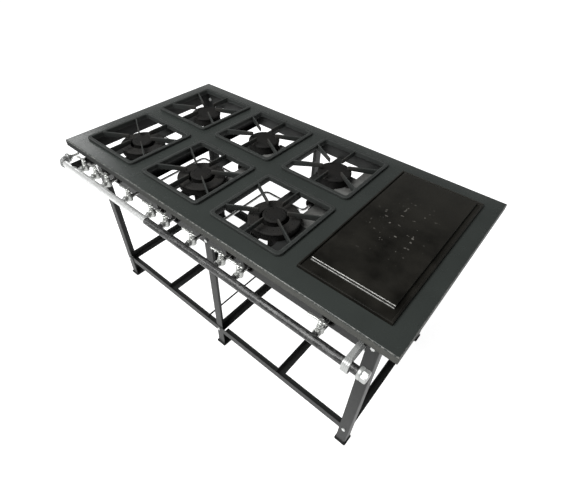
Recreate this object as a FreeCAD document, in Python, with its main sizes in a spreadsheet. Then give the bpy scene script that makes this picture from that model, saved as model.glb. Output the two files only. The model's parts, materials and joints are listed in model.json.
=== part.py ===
"""Industrial gas stove: six burners under square grates, a griddle beside them, on an angle-steel stand.

The table's centre is the reference for every place: x runs to the right along the front, y to the
back, z up from the floor. The whole model is shifted so that the origin lies on the floor below the
middle of its outline.
"""
import FreeCAD, Part
import os
import re

SIZES = {
    # table top
    "table_length": 1500,
    "table_depth": 780,
    "table_height": 800,
    "sheet_thickness": 2,
    "skirt_height": 27,
    "end_margin": 30,
    # grates
    "grate_gap": 60,
    "grate_rim_width": 14,
    "grate_rim_height": 10,
    "grate_corner_radius": 18,
    "grate_window_radius": 10,
    "grate_ledge": 8,
    "grate_lip_depth": 10,
    "seat_clearance": 2,
    "blade_thickness": 6,
    "blade_root_depth": 24,
    "blade_tip_depth": 17,
    "blade_tip_reach": 46,
    # griddle
    "griddle_gap": 56,
    "griddle_end_gap": 70,
    "griddle_ledge": 12,
    "griddle_floor": 5,
    "griddle_rim_height": 11,
    "griddle_rim_width": 8,
    "griddle_lip_width": 4,
    "griddle_gutter_left": 8,
    "griddle_gutter_right": 12,
    "griddle_gutter_front": 36,
    "griddle_gutter_back": 10,
    "griddle_plate_height": 15,
    "griddle_bevel": 6,
    # stand
    "frame_inset_side": 60,
    "frame_inset_front": 60,
    "frame_inset_back": 60,
    "frame_depth": 60,
    "apron_depth": 155,
    "flange_width": 30,
    "member_flange_width": 24,
    "support_bar_thickness": 5,
    "left_bar_width": 33,
    "left_bar_offset": 59.5,
    "left_plate_width": 51,
    "left_plate_offset": 50.5,
    "right_bar_width": 45,
    "right_bar_offset": 88,
    "right_plate_width": 115,
    "right_plate_offset": 97.5,
    "support_plate_length": 362,
    "support_plate_start": 60,
    "leg_width": 40,
    "leg_thickness": 3,
    "foot_lip": 5,
    "foot_height": 6,
    "lower_rail_height": 101,
    "lower_rail_web": 34,
    "lower_rail_flange": 34,
    "cross_rail_width": 30,
    "tie_rod_diameter": 8,
    "tie_rod_offset": 95,
    "notch_clearance": 1,
    # gas pipe
    "pipe_diameter": 26.9,
    "pipe_wall": 2.8,
    "pipe_standoff": 35,
    "gas_level": 98,
    "pipe_joint_gap": 11,
    "pipe_end_inset": 62,
    "fitting_diameter": 38,
    "fitting_length": 12,
    "fitting_clearance": 0.1,
    "inlet_overhang": 55,
    "elbow_bend_radius": 24,
    "elbow_diameter": 27,
    "gas_way_diameter": 15,
    "nipple_hex": 24,
    "nipple_hex_length": 10,
    "nipple_diameter": 12,
    "nipple_length": 34,
    "nipple_bore": 7,
    "cap_hex": 32,
    "cap_hex_length": 17,
    "strap_width": 22,
    "strap_arm_width": 15,
    "strap_thickness": 3,
    "strap_sag": 14,
    "strap_inset": 105,
    "strap_tab": 24,
    "bracket_thickness": 3,
    "bracket_margin": 12,
    "bracket_reach": 35,
    "boss_diameter": 18,
    "boss_length": 6,
    # valves
    "valve_standoff": 41,
    "valve_hex": 22,
    "valve_hex_length": 9,
    "valve_body_diameter": 20,
    "valve_barrel_diameter": 24,
    "valve_barrel_height": 30,
    "valve_bonnet_diameter": 19,
    "valve_bonnet_height": 12,
    "valve_outlet_diameter": 15,
    "valve_outlet_reach": 22,
    "stem_diameter": 9,
    "stem_depth": 24,
    "running_clearance": 0.05,
    "handle_gap": 1,
    "hub_diameter": 17,
    "hub_height": 12,
    "lever_length": 40,
    "lever_tail": 13,
    "lever_width": 9,
    "lever_tip_diameter": 13,
    "lever_thickness": 6,
    "venturi_offset": 40,
    # injectors and feed tubes
    "injector_diameter": 12,
    "injector_length": 16,
    "injector_tip_length": 8,
    "injector_tip_diameter": 6,
    "feed_diameter": 10,
    "feed_bore": 7,
    "feed_bend_radius": 18,
    "feed_straight": 14,
    # burners
    "burner_wall": 5,
    "venturi_diameter": 34,
    "venturi_bore": 26,
    "mouth_diameter": 46,
    "mouth_length": 20,
    "mouth_standout": 15,
    "mouth_clearance": 2,
    "ring_diameter": 180,
    "ring_bore": 100,
    "ring_height": 26,
    "ring_cap_thickness": 6,
    "double_burner_shift": 8,
    "ring_neck_offset": 55,
    "centre_diameter": 82,
    "centre_height": 36,
    "centre_neck_offset": 24,
    "centre_neck_diameter": 30,
    "centre_cap_thickness": 7,
    "cap_dome": 3,
    "cap_overhang": 2,
    "cap_spigot": 4,
    "single_diameter": 130,
    "single_height": 30,
    "single_cap_thickness": 9,
    "single_lug_width": 26,
    "single_venturi_length": 142,
    "port_diameter": 3,
    "griddle_burner_shift": 10,
    "griddle_burner_inset": 80,
    "griddle_port_pitch": 36,
    "hanger_width": 25,
    "hanger_thickness": 3,
    "hanger_inset": 60,
    "hanger_lap": 20,
    # fasteners
    "bolt_diameter": 8,
    "bolt_hole_clearance": 0.2,
    "bolt_hex": 13,
    "bolt_head_height": 5.5,
    "nut_height": 6.5,
    "bolt_drop": 40,
    "front_bolt_drop": 116,
    "mid_bolt_drop": 136,
    "mid_leg_headroom": 12,
}
RING_PORTS = 24
CENTRE_PORTS = 12
SINGLE_PORTS = 18
GRIDDLE_PORTS = 14

doc = FreeCAD.newDocument("stove")
sheet = doc.addObject("Spreadsheet::Sheet", "dims")
for row, (alias, value) in enumerate(SIZES.items(), start=1):
    sheet.set(f"A{row}", alias)
    sheet.set(f"B{row}", str(value))
    sheet.setAlias(f"B{row}", alias)
doc.recompute()

# Places that many pieces share
FRONT_EDGE = "(-table_depth / 2)"
LEG_FRONT = f"({FRONT_EDGE} + frame_inset_front)"
LEG_BACK = "(table_depth / 2 - frame_inset_back)"
SIDE = "(table_length / 2 - frame_inset_side)"
UNDERSIDE = "(table_height - sheet_thickness)"
FRAME_TOP = "(table_height - 2 * sheet_thickness)"
FRAME_BOTTOM = "(table_height - frame_depth)"
GAS = "(table_height - gas_level)"
PIPE_Y = f"({FRONT_EDGE} - pipe_standoff)"
STEM_Y = f"({PIPE_Y} + valve_standoff)"
OUTLET_Y = f"({STEM_Y} + valve_outlet_reach)"
MOUTH_Y = f"({LEG_FRONT} - mouth_standout)"
PITCH = "((table_length - 2 * end_margin) / 4)"
ROW_PITCH = "((table_depth - 2 * end_margin) / 2)"
FRONT_ROW = f"(-{ROW_PITCH} / 2)"
BACK_ROW = f"({ROW_PITCH} / 2)"
SEAT = f"({FRAME_BOTTOM} + support_bar_thickness)"
COLUMNS = {
    "left": f"(-1.5 * {PITCH})",
    "middle": f"(-0.5 * {PITCH})",
    "right": f"(0.5 * {PITCH})",
}
GRIDDLE_X = f"(1.5 * {PITCH})"
BURNER_X = f"({GRIDDLE_X} - griddle_burner_shift)"
GRATE = (f"({PITCH} - grate_gap)", f"({ROW_PITCH} - grate_gap)")
GRIDDLE = (f"({PITCH} - griddle_gap)", "(table_depth - 2 * griddle_end_gap)")
ORIGIN = {
    "x": "(inlet_overhang / 2)",
    "y": "((pipe_standoff + fitting_diameter / 2) / 2)",
    "z": "0",
}
TURN = {
    "x": FreeCAD.Rotation(FreeCAD.Vector(0, 1, 0), 90),
    "y": FreeCAD.Rotation(FreeCAD.Vector(1, 0, 0), -90),
    "z": FreeCAD.Rotation(),
}


def formula(text):
    """Write a size's name as the sheet's cell."""
    return re.sub(r"[a-z][a-z_]+", lambda word: f"dims.{word[0]}" if word[0] in SIZES else word[0], text)


def bind(part, prop, text):
    part.setExpression(prop, formula(text))


def place(part, x, y, z, rotation=None):
    """Set a piece's corner or centre, from the table's centre on the floor."""
    if rotation:
        part.Placement = FreeCAD.Placement(FreeCAD.Vector(), rotation)
    for axis, text in zip("xyz", (x, y, z)):
        bind(part, f"Placement.Base.{axis}", f"{ORIGIN[axis]} + ({text})")
    return part


def box(name, x, y, z):
    """Block between two corners, each side given as (low, high)."""
    part = doc.addObject("Part::Box", name)
    for side, (low, high) in zip(("Length", "Width", "Height"), (x, y, z)):
        bind(part, side, f"({high}) - ({low})")
    return place(part, x[0], y[0], z[0])


def split(axis, x, y, z):
    """Separate the (low, high) pair along an axis from the two fixed coordinates."""
    span = {"x": x, "y": y, "z": z}[axis]
    start = [span[0] if side == axis else text for side, text in zip("xyz", (x, y, z))]
    return span, start


def rod(name, axis, x, y, z, diameter):
    """Round bar along an axis, whose coordinate is given as (low, high)."""
    (low, high), start = split(axis, x, y, z)
    part = doc.addObject("Part::Cylinder", name)
    bind(part, "Radius", f"({diameter}) / 2")
    bind(part, "Height", f"({high}) - ({low})")
    return place(part, *start, TURN[axis])


def cone(name, axis, x, y, z, low_diameter, high_diameter):
    """Tapered bar along an axis."""
    (low, high), start = split(axis, x, y, z)
    part = doc.addObject("Part::Cone", name)
    bind(part, "Radius1", f"({low_diameter}) / 2")
    bind(part, "Radius2", f"({high_diameter}) / 2")
    bind(part, "Height", f"({high}) - ({low})")
    return place(part, *start, TURN[axis])


def hexagon(name, axis, x, y, z, across):
    """Six-sided bar along an axis, measured across its flats."""
    (low, high), start = split(axis, x, y, z)
    part = doc.addObject("Part::Prism", name)
    part.Polygon = 6
    bind(part, "Circumradius", f"({across}) / sqrt(3)")
    bind(part, "Height", f"({high}) - ({low})")
    return place(part, *start, TURN[axis])


def ball(name, x, y, z, diameter):
    part = doc.addObject("Part::Sphere", name)
    bind(part, "Radius", f"({diameter}) / 2")
    return place(part, x, y, z)


def bend(name, x, y, z, radius, diameter, start_angle):
    """Quarter turn of round bar in a level plane, about a centre."""
    part = doc.addObject("Part::Torus", name)
    bind(part, "Radius1", radius)
    bind(part, "Radius2", f"({diameter}) / 2")
    part.Angle3 = 90
    return place(part, x, y, z, FreeCAD.Rotation(FreeCAD.Vector(0, 0, 1), start_angle))


def fuse(name, *parts):
    part = doc.addObject("Part::MultiFuse", name)
    part.Shapes = list(parts)
    part.Refine = True
    return part


def cut(name, base, *tools):
    part = doc.addObject("Part::Cut", name)
    part.Base = base
    part.Tool = tools[0] if len(tools) == 1 else fuse(f"{name}_tools", *tools)
    part.Refine = True
    return part


def rounded_box(name, x, y, z, radius):
    """Block with its four upright edges rounded."""
    blank = box(f"{name}_blank", x, y, z)
    blank.recompute()
    upright = [number for number, edge in enumerate(blank.Shape.Edges, start=1)
               if abs(edge.tangentAt(edge.FirstParameter).z) > 0.5]
    part = doc.addObject("Part::Fillet", name)
    part.Base = blank
    part.Edges = [(number, radius, radius) for number in upright]
    return part


def around(centre, size):
    """(low, high) pair of a size centred on a place."""
    return f"{centre} - ({size}) / 2", f"{centre} + ({size}) / 2"


def spread(x, y, sides):
    """The two (low, high) pairs of a rectangle centred on a place."""
    return around(x, sides[0]), around(y, sides[1])


def inset(sides, size):
    """Sides of the rectangle that lies a size inside another one."""
    return tuple(f"({side} - 2 * {size})" for side in sides)


nodes = []


def node(part, label):
    part.Label = label
    nodes.append(part)
    return part


def group(label, parts):
    """Like pieces that share one node, each its own solid."""
    part = doc.addObject("Part::Compound", label)
    part.Links = list(parts)
    return node(part, label)


# Bolts: each joins a leg to a rail, its hole passes through both
bolts = []
bolt_holes = {}


def bolt(x, z, head_y, inward, grip, *holed):
    """Hexagon bolt along y with its nut, and the hole that it needs in each piece it holds."""
    low, high = sorted((0, inward))
    sign = "+" if inward > 0 else "-"
    nut_face = f"({head_y} {sign} ({grip}))"
    ends = {
        "head": (f"{head_y} - {high} * bolt_head_height", f"{head_y} - {low} * bolt_head_height"),
        "shank": (f"{head_y} + {low} * ({grip} + nut_height)", f"{head_y} + {high} * ({grip} + nut_height)"),
        "nut": (f"{nut_face} + {low} * nut_height", f"{nut_face} + {high} * nut_height"),
    }
    head = hexagon("bolt_head", "y", x, ends["head"], z, "bolt_hex")
    shank = rod("bolt_shank", "y", x, ends["shank"], z, "bolt_diameter")
    nut = hexagon("nut_blank", "y", x, ends["nut"], z, "bolt_hex")
    hole_size = "bolt_diameter + 2 * bolt_hole_clearance"
    bolts.append(fuse("bolt", head, shank))
    bolts.append(cut("nut", nut, rod("nut_hole", "y", x, ends["nut"], z, hole_size)))
    for name in holed:
        bolt_holes.setdefault(name, []).append(rod("bolt_hole", "y", x, ends["shank"], z, hole_size))


def drilled(label, *blocks):
    """Member welded or folded from blocks, with the bolt holes that fall in it."""
    whole = fuse(f"{label}_blank", *blocks)
    holes = bolt_holes.get(label)
    return node(cut(label, whole, *holes) if holes else whole, label)


CORNER_X = {"left": f"(-{SIDE} + leg_width / 2)", "right": f"({SIDE} - leg_width / 2)"}
LOWER_BOLT_Z = "(lower_rail_height + sheet_thickness + (lower_rail_web - sheet_thickness) / 2)"
UPPER_BOLT_Z = "(table_height - bolt_drop)"
FOLD = "(leg_thickness + sheet_thickness)"
STRAP_X = "(table_length / 2 - strap_inset)"
STRAP_BOLT_X = f"({STRAP_X} - strap_width / 2 + strap_arm_width / 2)"
STRAP_DROP = "(pipe_diameter / 2 + strap_thickness + strap_tab / 2)"
for side, x in CORNER_X.items():
    bolt(x, "(table_height - front_bolt_drop)", LEG_FRONT, 1, FOLD, f"leg_front_{side}", "front_apron")
    bolt(x, LOWER_BOLT_Z, LEG_FRONT, 1, FOLD, f"leg_front_{side}", "lower_front_rail")
    bolt(x, UPPER_BOLT_Z, LEG_BACK, -1, FOLD, f"leg_back_{side}", "back_rail")
    bolt(x, LOWER_BOLT_Z, LEG_BACK, -1, FOLD, f"leg_back_{side}", "lower_back_rail")
APRON_Y = f"({LEG_FRONT} + leg_thickness)"
INNER_FRONT = f"({APRON_Y} + sheet_thickness)"
BACK_RAIL_Y = f"({LEG_BACK} - leg_thickness)"
bolt("0", "(table_height - mid_bolt_drop)", APRON_Y, 1, FOLD, "leg_front_middle", "front_apron")
bolt("0", LOWER_BOLT_Z, APRON_Y, 1, FOLD, "leg_front_middle", "lower_front_rail")
bolt("(-leg_width / 4)", UPPER_BOLT_Z, BACK_RAIL_Y, -1, FOLD, "leg_back_middle", "back_rail")
bolt("0", LOWER_BOLT_Z, BACK_RAIL_Y, -1, FOLD, "leg_back_middle", "lower_back_rail")
TAB_Y = f"({APRON_Y} - strap_thickness)"
for z in (f"({GAS} + {STRAP_DROP})", f"({GAS} - strap_sag - {STRAP_DROP})"):
    bolt(STRAP_BOLT_X, z, TAB_Y, 1, "(strap_thickness + sheet_thickness)", "pipe_strap", "front_apron")

# Table top: one sheet, folded down on all sides, with a cut-out per grate and one for the griddle
half_length = "(table_length / 2)"
half_depth = "(table_depth / 2)"
blank = box("table_blank", (f"-{half_length}", half_length), (f"-{half_depth}", half_depth),
            ("table_height - skirt_height", "table_height"))
hollow = box("table_hollow", (f"-{half_length} + sheet_thickness", f"{half_length} - sheet_thickness"),
             (f"-{half_depth} + sheet_thickness", f"{half_depth} - sheet_thickness"),
             ("table_height - skirt_height", UNDERSIDE))
through = (FRAME_TOP, "table_height + sheet_thickness")
OPENING = inset(GRATE, "grate_ledge")
GRIDDLE_OPENING = inset(GRIDDLE, "griddle_ledge")
openings = [box("grate_opening", *spread(x, y, OPENING), through)
            for x in COLUMNS.values() for y in (FRONT_ROW, BACK_ROW)]
openings.append(box("griddle_opening", *spread(GRIDDLE_X, "0", GRIDDLE_OPENING), through))
node(cut("table_top", blank, hollow, *openings), "table_top")

# Valve places along the pipe, and which burner tube each one feeds; the first feed tube passes through a leg
valves = {}
for column, x in COLUMNS.items():
    valves[f"{column}_back"] = f"(-{SIDE} + 0.65 * leg_width)" if column == "left" else f"({x} - {PITCH} / 2)"
    valves[f"{column}_centre"] = f"({x} - venturi_offset)"
    valves[f"{column}_ring"] = f"({x} + venturi_offset)"
valves["griddle"] = BURNER_X
fed_by_tube = {name for name in valves if name.endswith("_back")}

# Front apron: deep folded sheet behind the corner legs, pierced for the burner and feed tubes
inner_side = f"({SIDE} - leg_thickness)"
apron_web = box("apron_web", (f"-{inner_side}", inner_side), (APRON_Y, f"{APRON_Y} + sheet_thickness"),
                ("table_height - apron_depth", UNDERSIDE))
apron_flange = box("apron_flange", (f"-{inner_side}", inner_side),
                   (f"{APRON_Y} - flange_width", f"{APRON_Y} + sheet_thickness"), (FRAME_TOP, UNDERSIDE))
for name, x in valves.items():
    hole = "feed_diameter" if name in fed_by_tube else "mouth_diameter"
    for label in ("front_apron", "leg_front_left") if name == "left_back" else ("front_apron",):
        pierced = rod(f"hole_{name}", "y", x, (LEG_FRONT, INNER_FRONT), GAS, f"{hole} + 2 * mouth_clearance")
        bolt_holes[label].append(pierced)
drilled("front_apron", apron_web, apron_flange)

# Back rail and side rails: folded angles welded under the table, their flanges turned outwards
rail_drop = (FRAME_BOTTOM, UNDERSIDE)
back_web = box("back_rail_web", (f"-{inner_side}", inner_side),
               (f"{BACK_RAIL_Y} - sheet_thickness", BACK_RAIL_Y), rail_drop)
back_flange = box("back_rail_flange", (f"-{inner_side}", inner_side),
                  (f"{BACK_RAIL_Y} - sheet_thickness", f"{BACK_RAIL_Y} + flange_width"), (FRAME_TOP, UNDERSIDE))
drilled("back_rail", back_web, back_flange)
outer_side = f"({SIDE} + sheet_thickness)"
flange_side = f"({SIDE} + flange_width)"
for label, web, flange in (
        ("left_rail", (f"-{outer_side}", f"-{SIDE}"), (f"-{flange_side}", f"-{SIDE}")),
        ("right_rail", (SIDE, outer_side), (SIDE, flange_side))):
    drilled(label, box(f"{label}_web", web, (LEG_FRONT, LEG_BACK), rail_drop),
            box(f"{label}_flange", flange, (LEG_FRONT, LEG_BACK), (FRAME_TOP, UNDERSIDE)))

# Cross members between the columns: folded angles from the apron to the back rail
INNER_BACK = f"({BACK_RAIL_Y} - sheet_thickness)"
member_run = (INNER_FRONT, f"{INNER_BACK} - leg_thickness")
members = []
for x, flange in ((f"(-{PITCH})", ("0", "member_flange_width")),
                  ("0", ("-member_flange_width", "sheet_thickness")),
                  (PITCH, ("-member_flange_width", "sheet_thickness"))):
    web = box("member_web", (x, f"{x} + sheet_thickness"), member_run, (FRAME_BOTTOM, FRAME_TOP))
    foot = box("member_flange", tuple(f"{x} + {edge}" for edge in flange), member_run,
               (FRAME_BOTTOM, f"{FRAME_BOTTOM} + sheet_thickness"))
    members.append(fuse("cross_member", web, foot))
group("cross_members", members)

# Support bars: a pair of flat bars under each column, each with a plate welded along it
# The column's two burners stand on them, with their mixing tubes in the slot between the plates
bars = []
plate_y = f"({FRONT_ROW} + support_plate_start)"
for x in COLUMNS.values():
    for side, sign in (("left", "-"), ("right", "+")):
        bar = box("support_bar", around(f"({x} {sign} {side}_bar_offset)", f"{side}_bar_width"),
                  (INNER_FRONT, INNER_BACK), (FRAME_BOTTOM, SEAT))
        plate = box("support_plate", around(f"({x} {sign} {side}_plate_offset)", f"{side}_plate_width"),
                    (plate_y, f"{plate_y} + support_plate_length"), (FRAME_BOTTOM, SEAT))
        bars.append(fuse("support_bar_with_plate", bar, plate))
group("burner_support_bars", bars)

# Legs: folded angles; the corner legs lie outside the rails, the middle legs inside them
feet = []


def leg(label, x_low, y_face, inward, web_high, top):
    """Angle leg: one flange across the front or back, one flange along the side, on a foot plate."""
    x = (x_low, f"{x_low} + leg_width")
    web_x = (f"{x[1]} - leg_thickness", x[1]) if web_high else (x[0], f"{x[0]} + leg_thickness")
    y = (y_face, f"{y_face} + leg_width") if inward > 0 else (f"{y_face} - leg_width", y_face)
    face_y = (y_face, f"{y_face} + leg_thickness") if inward > 0 else (f"{y_face} - leg_thickness", y_face)
    z = ("foot_height", top)
    drilled(label, box(f"{label}_face", x, face_y, z), box(f"{label}_web", web_x, y, z))
    lip = [(f"{low} - foot_lip", f"{high} + foot_lip") for low, high in (x, y)]
    feet.append(rounded_box("foot_plate", *lip, ("0", "foot_height"), sheet.get("foot_lip")))


for row, y_face, inward in (("front", LEG_FRONT, 1), ("back", LEG_BACK, -1)):
    leg(f"leg_{row}_left", f"-{SIDE}", y_face, inward, False, FRAME_TOP)
    leg(f"leg_{row}_right", f"({SIDE} - leg_width)", y_face, inward, True, FRAME_TOP)
leg("leg_front_middle", "(-leg_width / 2)", INNER_FRONT, 1, False, f"({GAS} - mid_leg_headroom)")
leg("leg_back_middle", "(-leg_width / 2)", INNER_BACK, -1, True, FRAME_TOP)
group("foot_plates", feet)

# Lower rails: angles whose flange points inwards, notched where a middle leg passes
lower_web = ("lower_rail_height", "lower_rail_height + lower_rail_web")
lower_flange = ("lower_rail_height", "lower_rail_height + sheet_thickness")
notch_x = around("0", "leg_width + 2 * notch_clearance")
for label, web, flange in (
        ("lower_front_rail", (APRON_Y, INNER_FRONT), (APRON_Y, f"{APRON_Y} + lower_rail_flange")),
        ("lower_back_rail", (INNER_BACK, BACK_RAIL_Y), (f"{BACK_RAIL_Y} - lower_rail_flange", BACK_RAIL_Y))):
    reach = "leg_width + notch_clearance"
    notch = (INNER_FRONT, f"{INNER_FRONT} + {reach}") if "front" in label else (f"{INNER_BACK} - ({reach})", INNER_BACK)
    bolt_holes[label].append(box(f"{label}_notch", notch_x, notch, lower_flange))
    drilled(label, box(f"{label}_web", (f"-{inner_side}", inner_side), web, lower_web),
            box(f"{label}_flange", (f"-{inner_side}", inner_side), flange, lower_flange))

# Lower cross rails: angles that lie on the flanges of the two lower rails
on_flange = "(lower_rail_height + sheet_thickness)"
cross_run = (f"{INNER_FRONT} + leg_thickness", f"{INNER_BACK} - leg_thickness")
cross_starts = [f"-{inner_side}", f"({inner_side} - cross_rail_width)"]
cross_starts += [f"({step} * {SIDE} / 2 - cross_rail_width / 2)" for step in (-1, 0, 1)]
cross_rails = []
for x in cross_starts:
    web = box("cross_web", (x, f"{x} + sheet_thickness"), cross_run, (on_flange, f"{on_flange} + cross_rail_width"))
    foot = box("cross_foot", (x, f"{x} + cross_rail_width"), cross_run, (on_flange, f"{on_flange} + sheet_thickness"))
    cross_rails.append(fuse("cross_rail", web, foot))
group("lower_cross_rails", cross_rails)
node(rod("tie_rod", "y", "-tie_rod_offset", (INNER_FRONT, INNER_BACK), f"{on_flange} + tie_rod_diameter / 2",
         "tie_rod_diameter"), "tie_rod")

# Gas pipe: a bright stretch and a painted stretch in line, with a boss for each valve
INLET_X = "(-table_length / 2 - inlet_overhang + fitting_diameter / 2)"
ELBOW_X = f"({INLET_X} + elbow_bend_radius)"
PIPE_START = f"({ELBOW_X} + pipe_wall)"
PIPE_JOINT = f"({valves['middle_centre']} + boss_diameter / 2 + pipe_joint_gap)"
PIPE_END = "(table_length / 2 - pipe_end_inset)"
BOSS_Y = f"({PIPE_Y} + pipe_diameter / 2 + boss_length)"
pipe_bore = "pipe_diameter - 2 * pipe_wall"
bright_valves = ("left_back", "left_centre", "left_ring", "middle_back", "middle_centre")
for label, start, end, bright in (("inlet_pipe", PIPE_START, PIPE_JOINT, True),
                                  ("manifold_pipe", PIPE_JOINT, PIPE_END, False)):
    own = [x for name, x in valves.items() if (name in bright_valves) == bright]
    bosses = [rod("boss", "y", x, (PIPE_Y, BOSS_Y), GAS, "boss_diameter") for x in own]
    ways = [rod("boss_way", "y", x, (PIPE_Y, BOSS_Y), GAS, "feed_bore") for x in own]
    solid = fuse(f"{label}_solid", rod(f"{label}_wall", "x", (start, end), PIPE_Y, GAS, "pipe_diameter"), *bosses)
    node(cut(label, solid, rod(f"{label}_bore", "x", (start, end), PIPE_Y, GAS, pipe_bore), *ways), label)

# Inlet elbow: cast fitting that turns the pipe's left end to the back
socket = "pipe_diameter + 2 * fitting_clearance"
OUTLET_FACE = f"({PIPE_Y} + elbow_bend_radius)"
NIPPLE_Y = f"({OUTLET_FACE} + fitting_length)"
elbow_solid = fuse(
    "elbow_solid",
    bend("elbow_turn", ELBOW_X, OUTLET_FACE, GAS, "elbow_bend_radius", "elbow_diameter", 180),
    rod("elbow_collar", "x", (ELBOW_X, f"{ELBOW_X} + fitting_length"), PIPE_Y, GAS, "fitting_diameter"),
    rod("elbow_outlet", "y", INLET_X, (OUTLET_FACE, NIPPLE_Y), GAS, "fitting_diameter"))
node(cut("inlet_elbow", elbow_solid,
         bend("elbow_way", ELBOW_X, OUTLET_FACE, GAS, "elbow_bend_radius", "gas_way_diameter", 180),
         rod("elbow_socket", "x", (PIPE_START, f"{ELBOW_X} + fitting_length"), PIPE_Y, GAS, socket),
         rod("elbow_throat", "x", (ELBOW_X, PIPE_START), PIPE_Y, GAS, "gas_way_diameter"),
         rod("elbow_exit", "y", INLET_X, (OUTLET_FACE, NIPPLE_Y), GAS, "gas_way_diameter")), "inlet_elbow")

# Hose nipple: hexagon and plain tail behind the elbow, where the gas hose goes on
TAIL_Y = f"({NIPPLE_Y} + nipple_hex_length)"
TAIL_END = f"({TAIL_Y} + nipple_length)"
nipple = fuse("nipple_solid",
              hexagon("nipple_nut", "y", INLET_X, (NIPPLE_Y, TAIL_Y), GAS, "nipple_hex"),
              rod("nipple_tail", "y", INLET_X, (TAIL_Y, TAIL_END), GAS, "nipple_diameter"))
node(cut("hose_nipple", nipple, rod("nipple_way", "y", INLET_X, (NIPPLE_Y, TAIL_END), GAS, "nipple_bore")),
     "hose_nipple")

# End cap: closes the pipe's right end, with a hexagon for the spanner
CAP_X = f"({PIPE_END} - fitting_length + pipe_wall)"
CAP_FACE = f"({CAP_X} + fitting_length)"
cap_solid = fuse("end_cap_solid",
                 rod("end_cap_collar", "x", (CAP_X, CAP_FACE), PIPE_Y, GAS, "fitting_diameter"),
                 hexagon("end_cap_hex", "x", (CAP_FACE, f"{CAP_FACE} + cap_hex_length"), PIPE_Y, GAS, "cap_hex"))
node(cut("end_cap", cap_solid, rod("end_cap_socket", "x", (CAP_X, PIPE_END), PIPE_Y, GAS, socket)), "end_cap")

# Pipe strap: flat strip bent into a long loop round the pipe's right end, bolted to the apron beside the leg
strap_x = around(STRAP_X, "strap_width")
arm_x = (strap_x[0], f"{strap_x[0]} + strap_arm_width")
strap_outer = "(pipe_diameter + 2 * strap_thickness)"
LOOP_BOTTOM = f"({GAS} - strap_sag)"
strap_blocks = [box("strap_sides", strap_x, around(PIPE_Y, strap_outer), (LOOP_BOTTOM, GAS))]
strap_holes = [box("strap_slot", strap_x, around(PIPE_Y, socket), (LOOP_BOTTOM, GAS))]
for sign, z in ((1, GAS), (-1, LOOP_BOTTOM)):
    inner, outer = f"({z} + {sign} * pipe_diameter / 2)", f"({z} + {sign} * {strap_outer} / 2)"
    tip = f"({outer} + {sign} * strap_tab)"
    arm = (inner, outer) if sign > 0 else (outer, inner)
    tab = (inner, tip) if sign > 0 else (tip, inner)
    strap_blocks.append(rod("strap_bend", "x", strap_x, PIPE_Y, z, strap_outer))
    strap_blocks.append(box("strap_arm", arm_x, (PIPE_Y, APRON_Y), arm))
    strap_blocks.append(box("strap_tab", arm_x, (TAB_Y, APRON_Y), tab))
    strap_holes.append(rod("strap_bore", "x", strap_x, PIPE_Y, z, socket))
bolt_holes["pipe_strap"].extend(strap_holes)
drilled("pipe_strap", *strap_blocks)

# Pipe bracket: upright plate on the front left leg, with a half-round seat that cradles the pipe
bracket_x = (f"-{SIDE} - bracket_thickness", f"-{SIDE}")
bracket = box("bracket_plate", bracket_x, (PIPE_Y, f"{LEG_FRONT} + bracket_reach"),
              around(GAS, "pipe_diameter + 2 * bracket_margin"))
node(cut("pipe_bracket", bracket, rod("bracket_hole", "x", bracket_x, PIPE_Y, GAS, socket)), "pipe_bracket")

# Valves: a body screwed on each boss, with a lever handle whose stem turns in the body
BARREL_TOP = f"({GAS} + valve_barrel_height / 2)"
BONNET_TOP = f"({BARREL_TOP} + valve_bonnet_height)"
STEM_FOOT = f"({BONNET_TOP} - stem_depth)"
HUB_Z = f"({BONNET_TOP} + handle_gap)"
HUB_TOP = f"({HUB_Z} + hub_height)"
lever_z = around(f"({HUB_Z} + hub_height / 2)", "lever_thickness")
HEX_END = f"({BOSS_Y} + valve_hex_length)"


def valve_body(x):
    solid = fuse(
        "valve_solid",
        hexagon("valve_hex", "y", x, (BOSS_Y, HEX_END), GAS, "valve_hex"),
        rod("valve_run", "y", x, (HEX_END, STEM_Y), GAS, "valve_body_diameter"),
        rod("valve_outlet", "y", x, (STEM_Y, OUTLET_Y), GAS, "valve_outlet_diameter"),
        rod("valve_barrel", "z", x, STEM_Y, (f"{GAS} - valve_barrel_height / 2", BARREL_TOP), "valve_barrel_diameter"),
        rod("valve_bonnet", "z", x, STEM_Y, (BARREL_TOP, BONNET_TOP), "valve_bonnet_diameter"))
    bore = rod("stem_bore", "z", x, STEM_Y, (STEM_FOOT, BONNET_TOP), "stem_diameter + 2 * running_clearance")
    return cut("valve_body", solid, bore)


def valve_handle(name, x):
    """Lever to the left of its stem: the valve is shut, and open when the lever points to the front."""
    tip = f"({x} - lever_length)"
    tail = f"({x} + lever_tail)"
    label = f"handle_{name}"
    return node(fuse(
        label,
        rod("stem", "z", x, STEM_Y, (f"{STEM_FOOT} + handle_gap", HUB_TOP), "stem_diameter"),
        rod("hub", "z", x, STEM_Y, (HUB_Z, HUB_TOP), "hub_diameter"),
        box("lever", (tip, tail), around(STEM_Y, "lever_width"), lever_z),
        rod("lever_tip", "z", tip, STEM_Y, lever_z, "lever_tip_diameter"),
        rod("lever_tail_end", "z", tail, STEM_Y, lever_z, "lever_width")), label)


group("valve_bodies", [valve_body(x) for x in valves.values()])
for name, x in valves.items():
    valve_handle(name, x)

# Injectors: turned jets that blow the gas into the mouths of the mixing tubes
BACK_MOUTH_Y = f"({BACK_ROW} - single_venturi_length)"
JET_Y = f"({BACK_MOUTH_Y} - injector_length)"


def injector(x, y):
    shoulder = f"({y} + injector_length)"
    solid = fuse("injector_solid",
                 rod("injector_body", "y", x, (y, shoulder), GAS, "injector_diameter"),
                 cone("injector_tip", "y", x, (shoulder, f"{shoulder} + injector_tip_length"), GAS,
                      "injector_diameter", "injector_tip_diameter"))
    return solid


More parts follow.
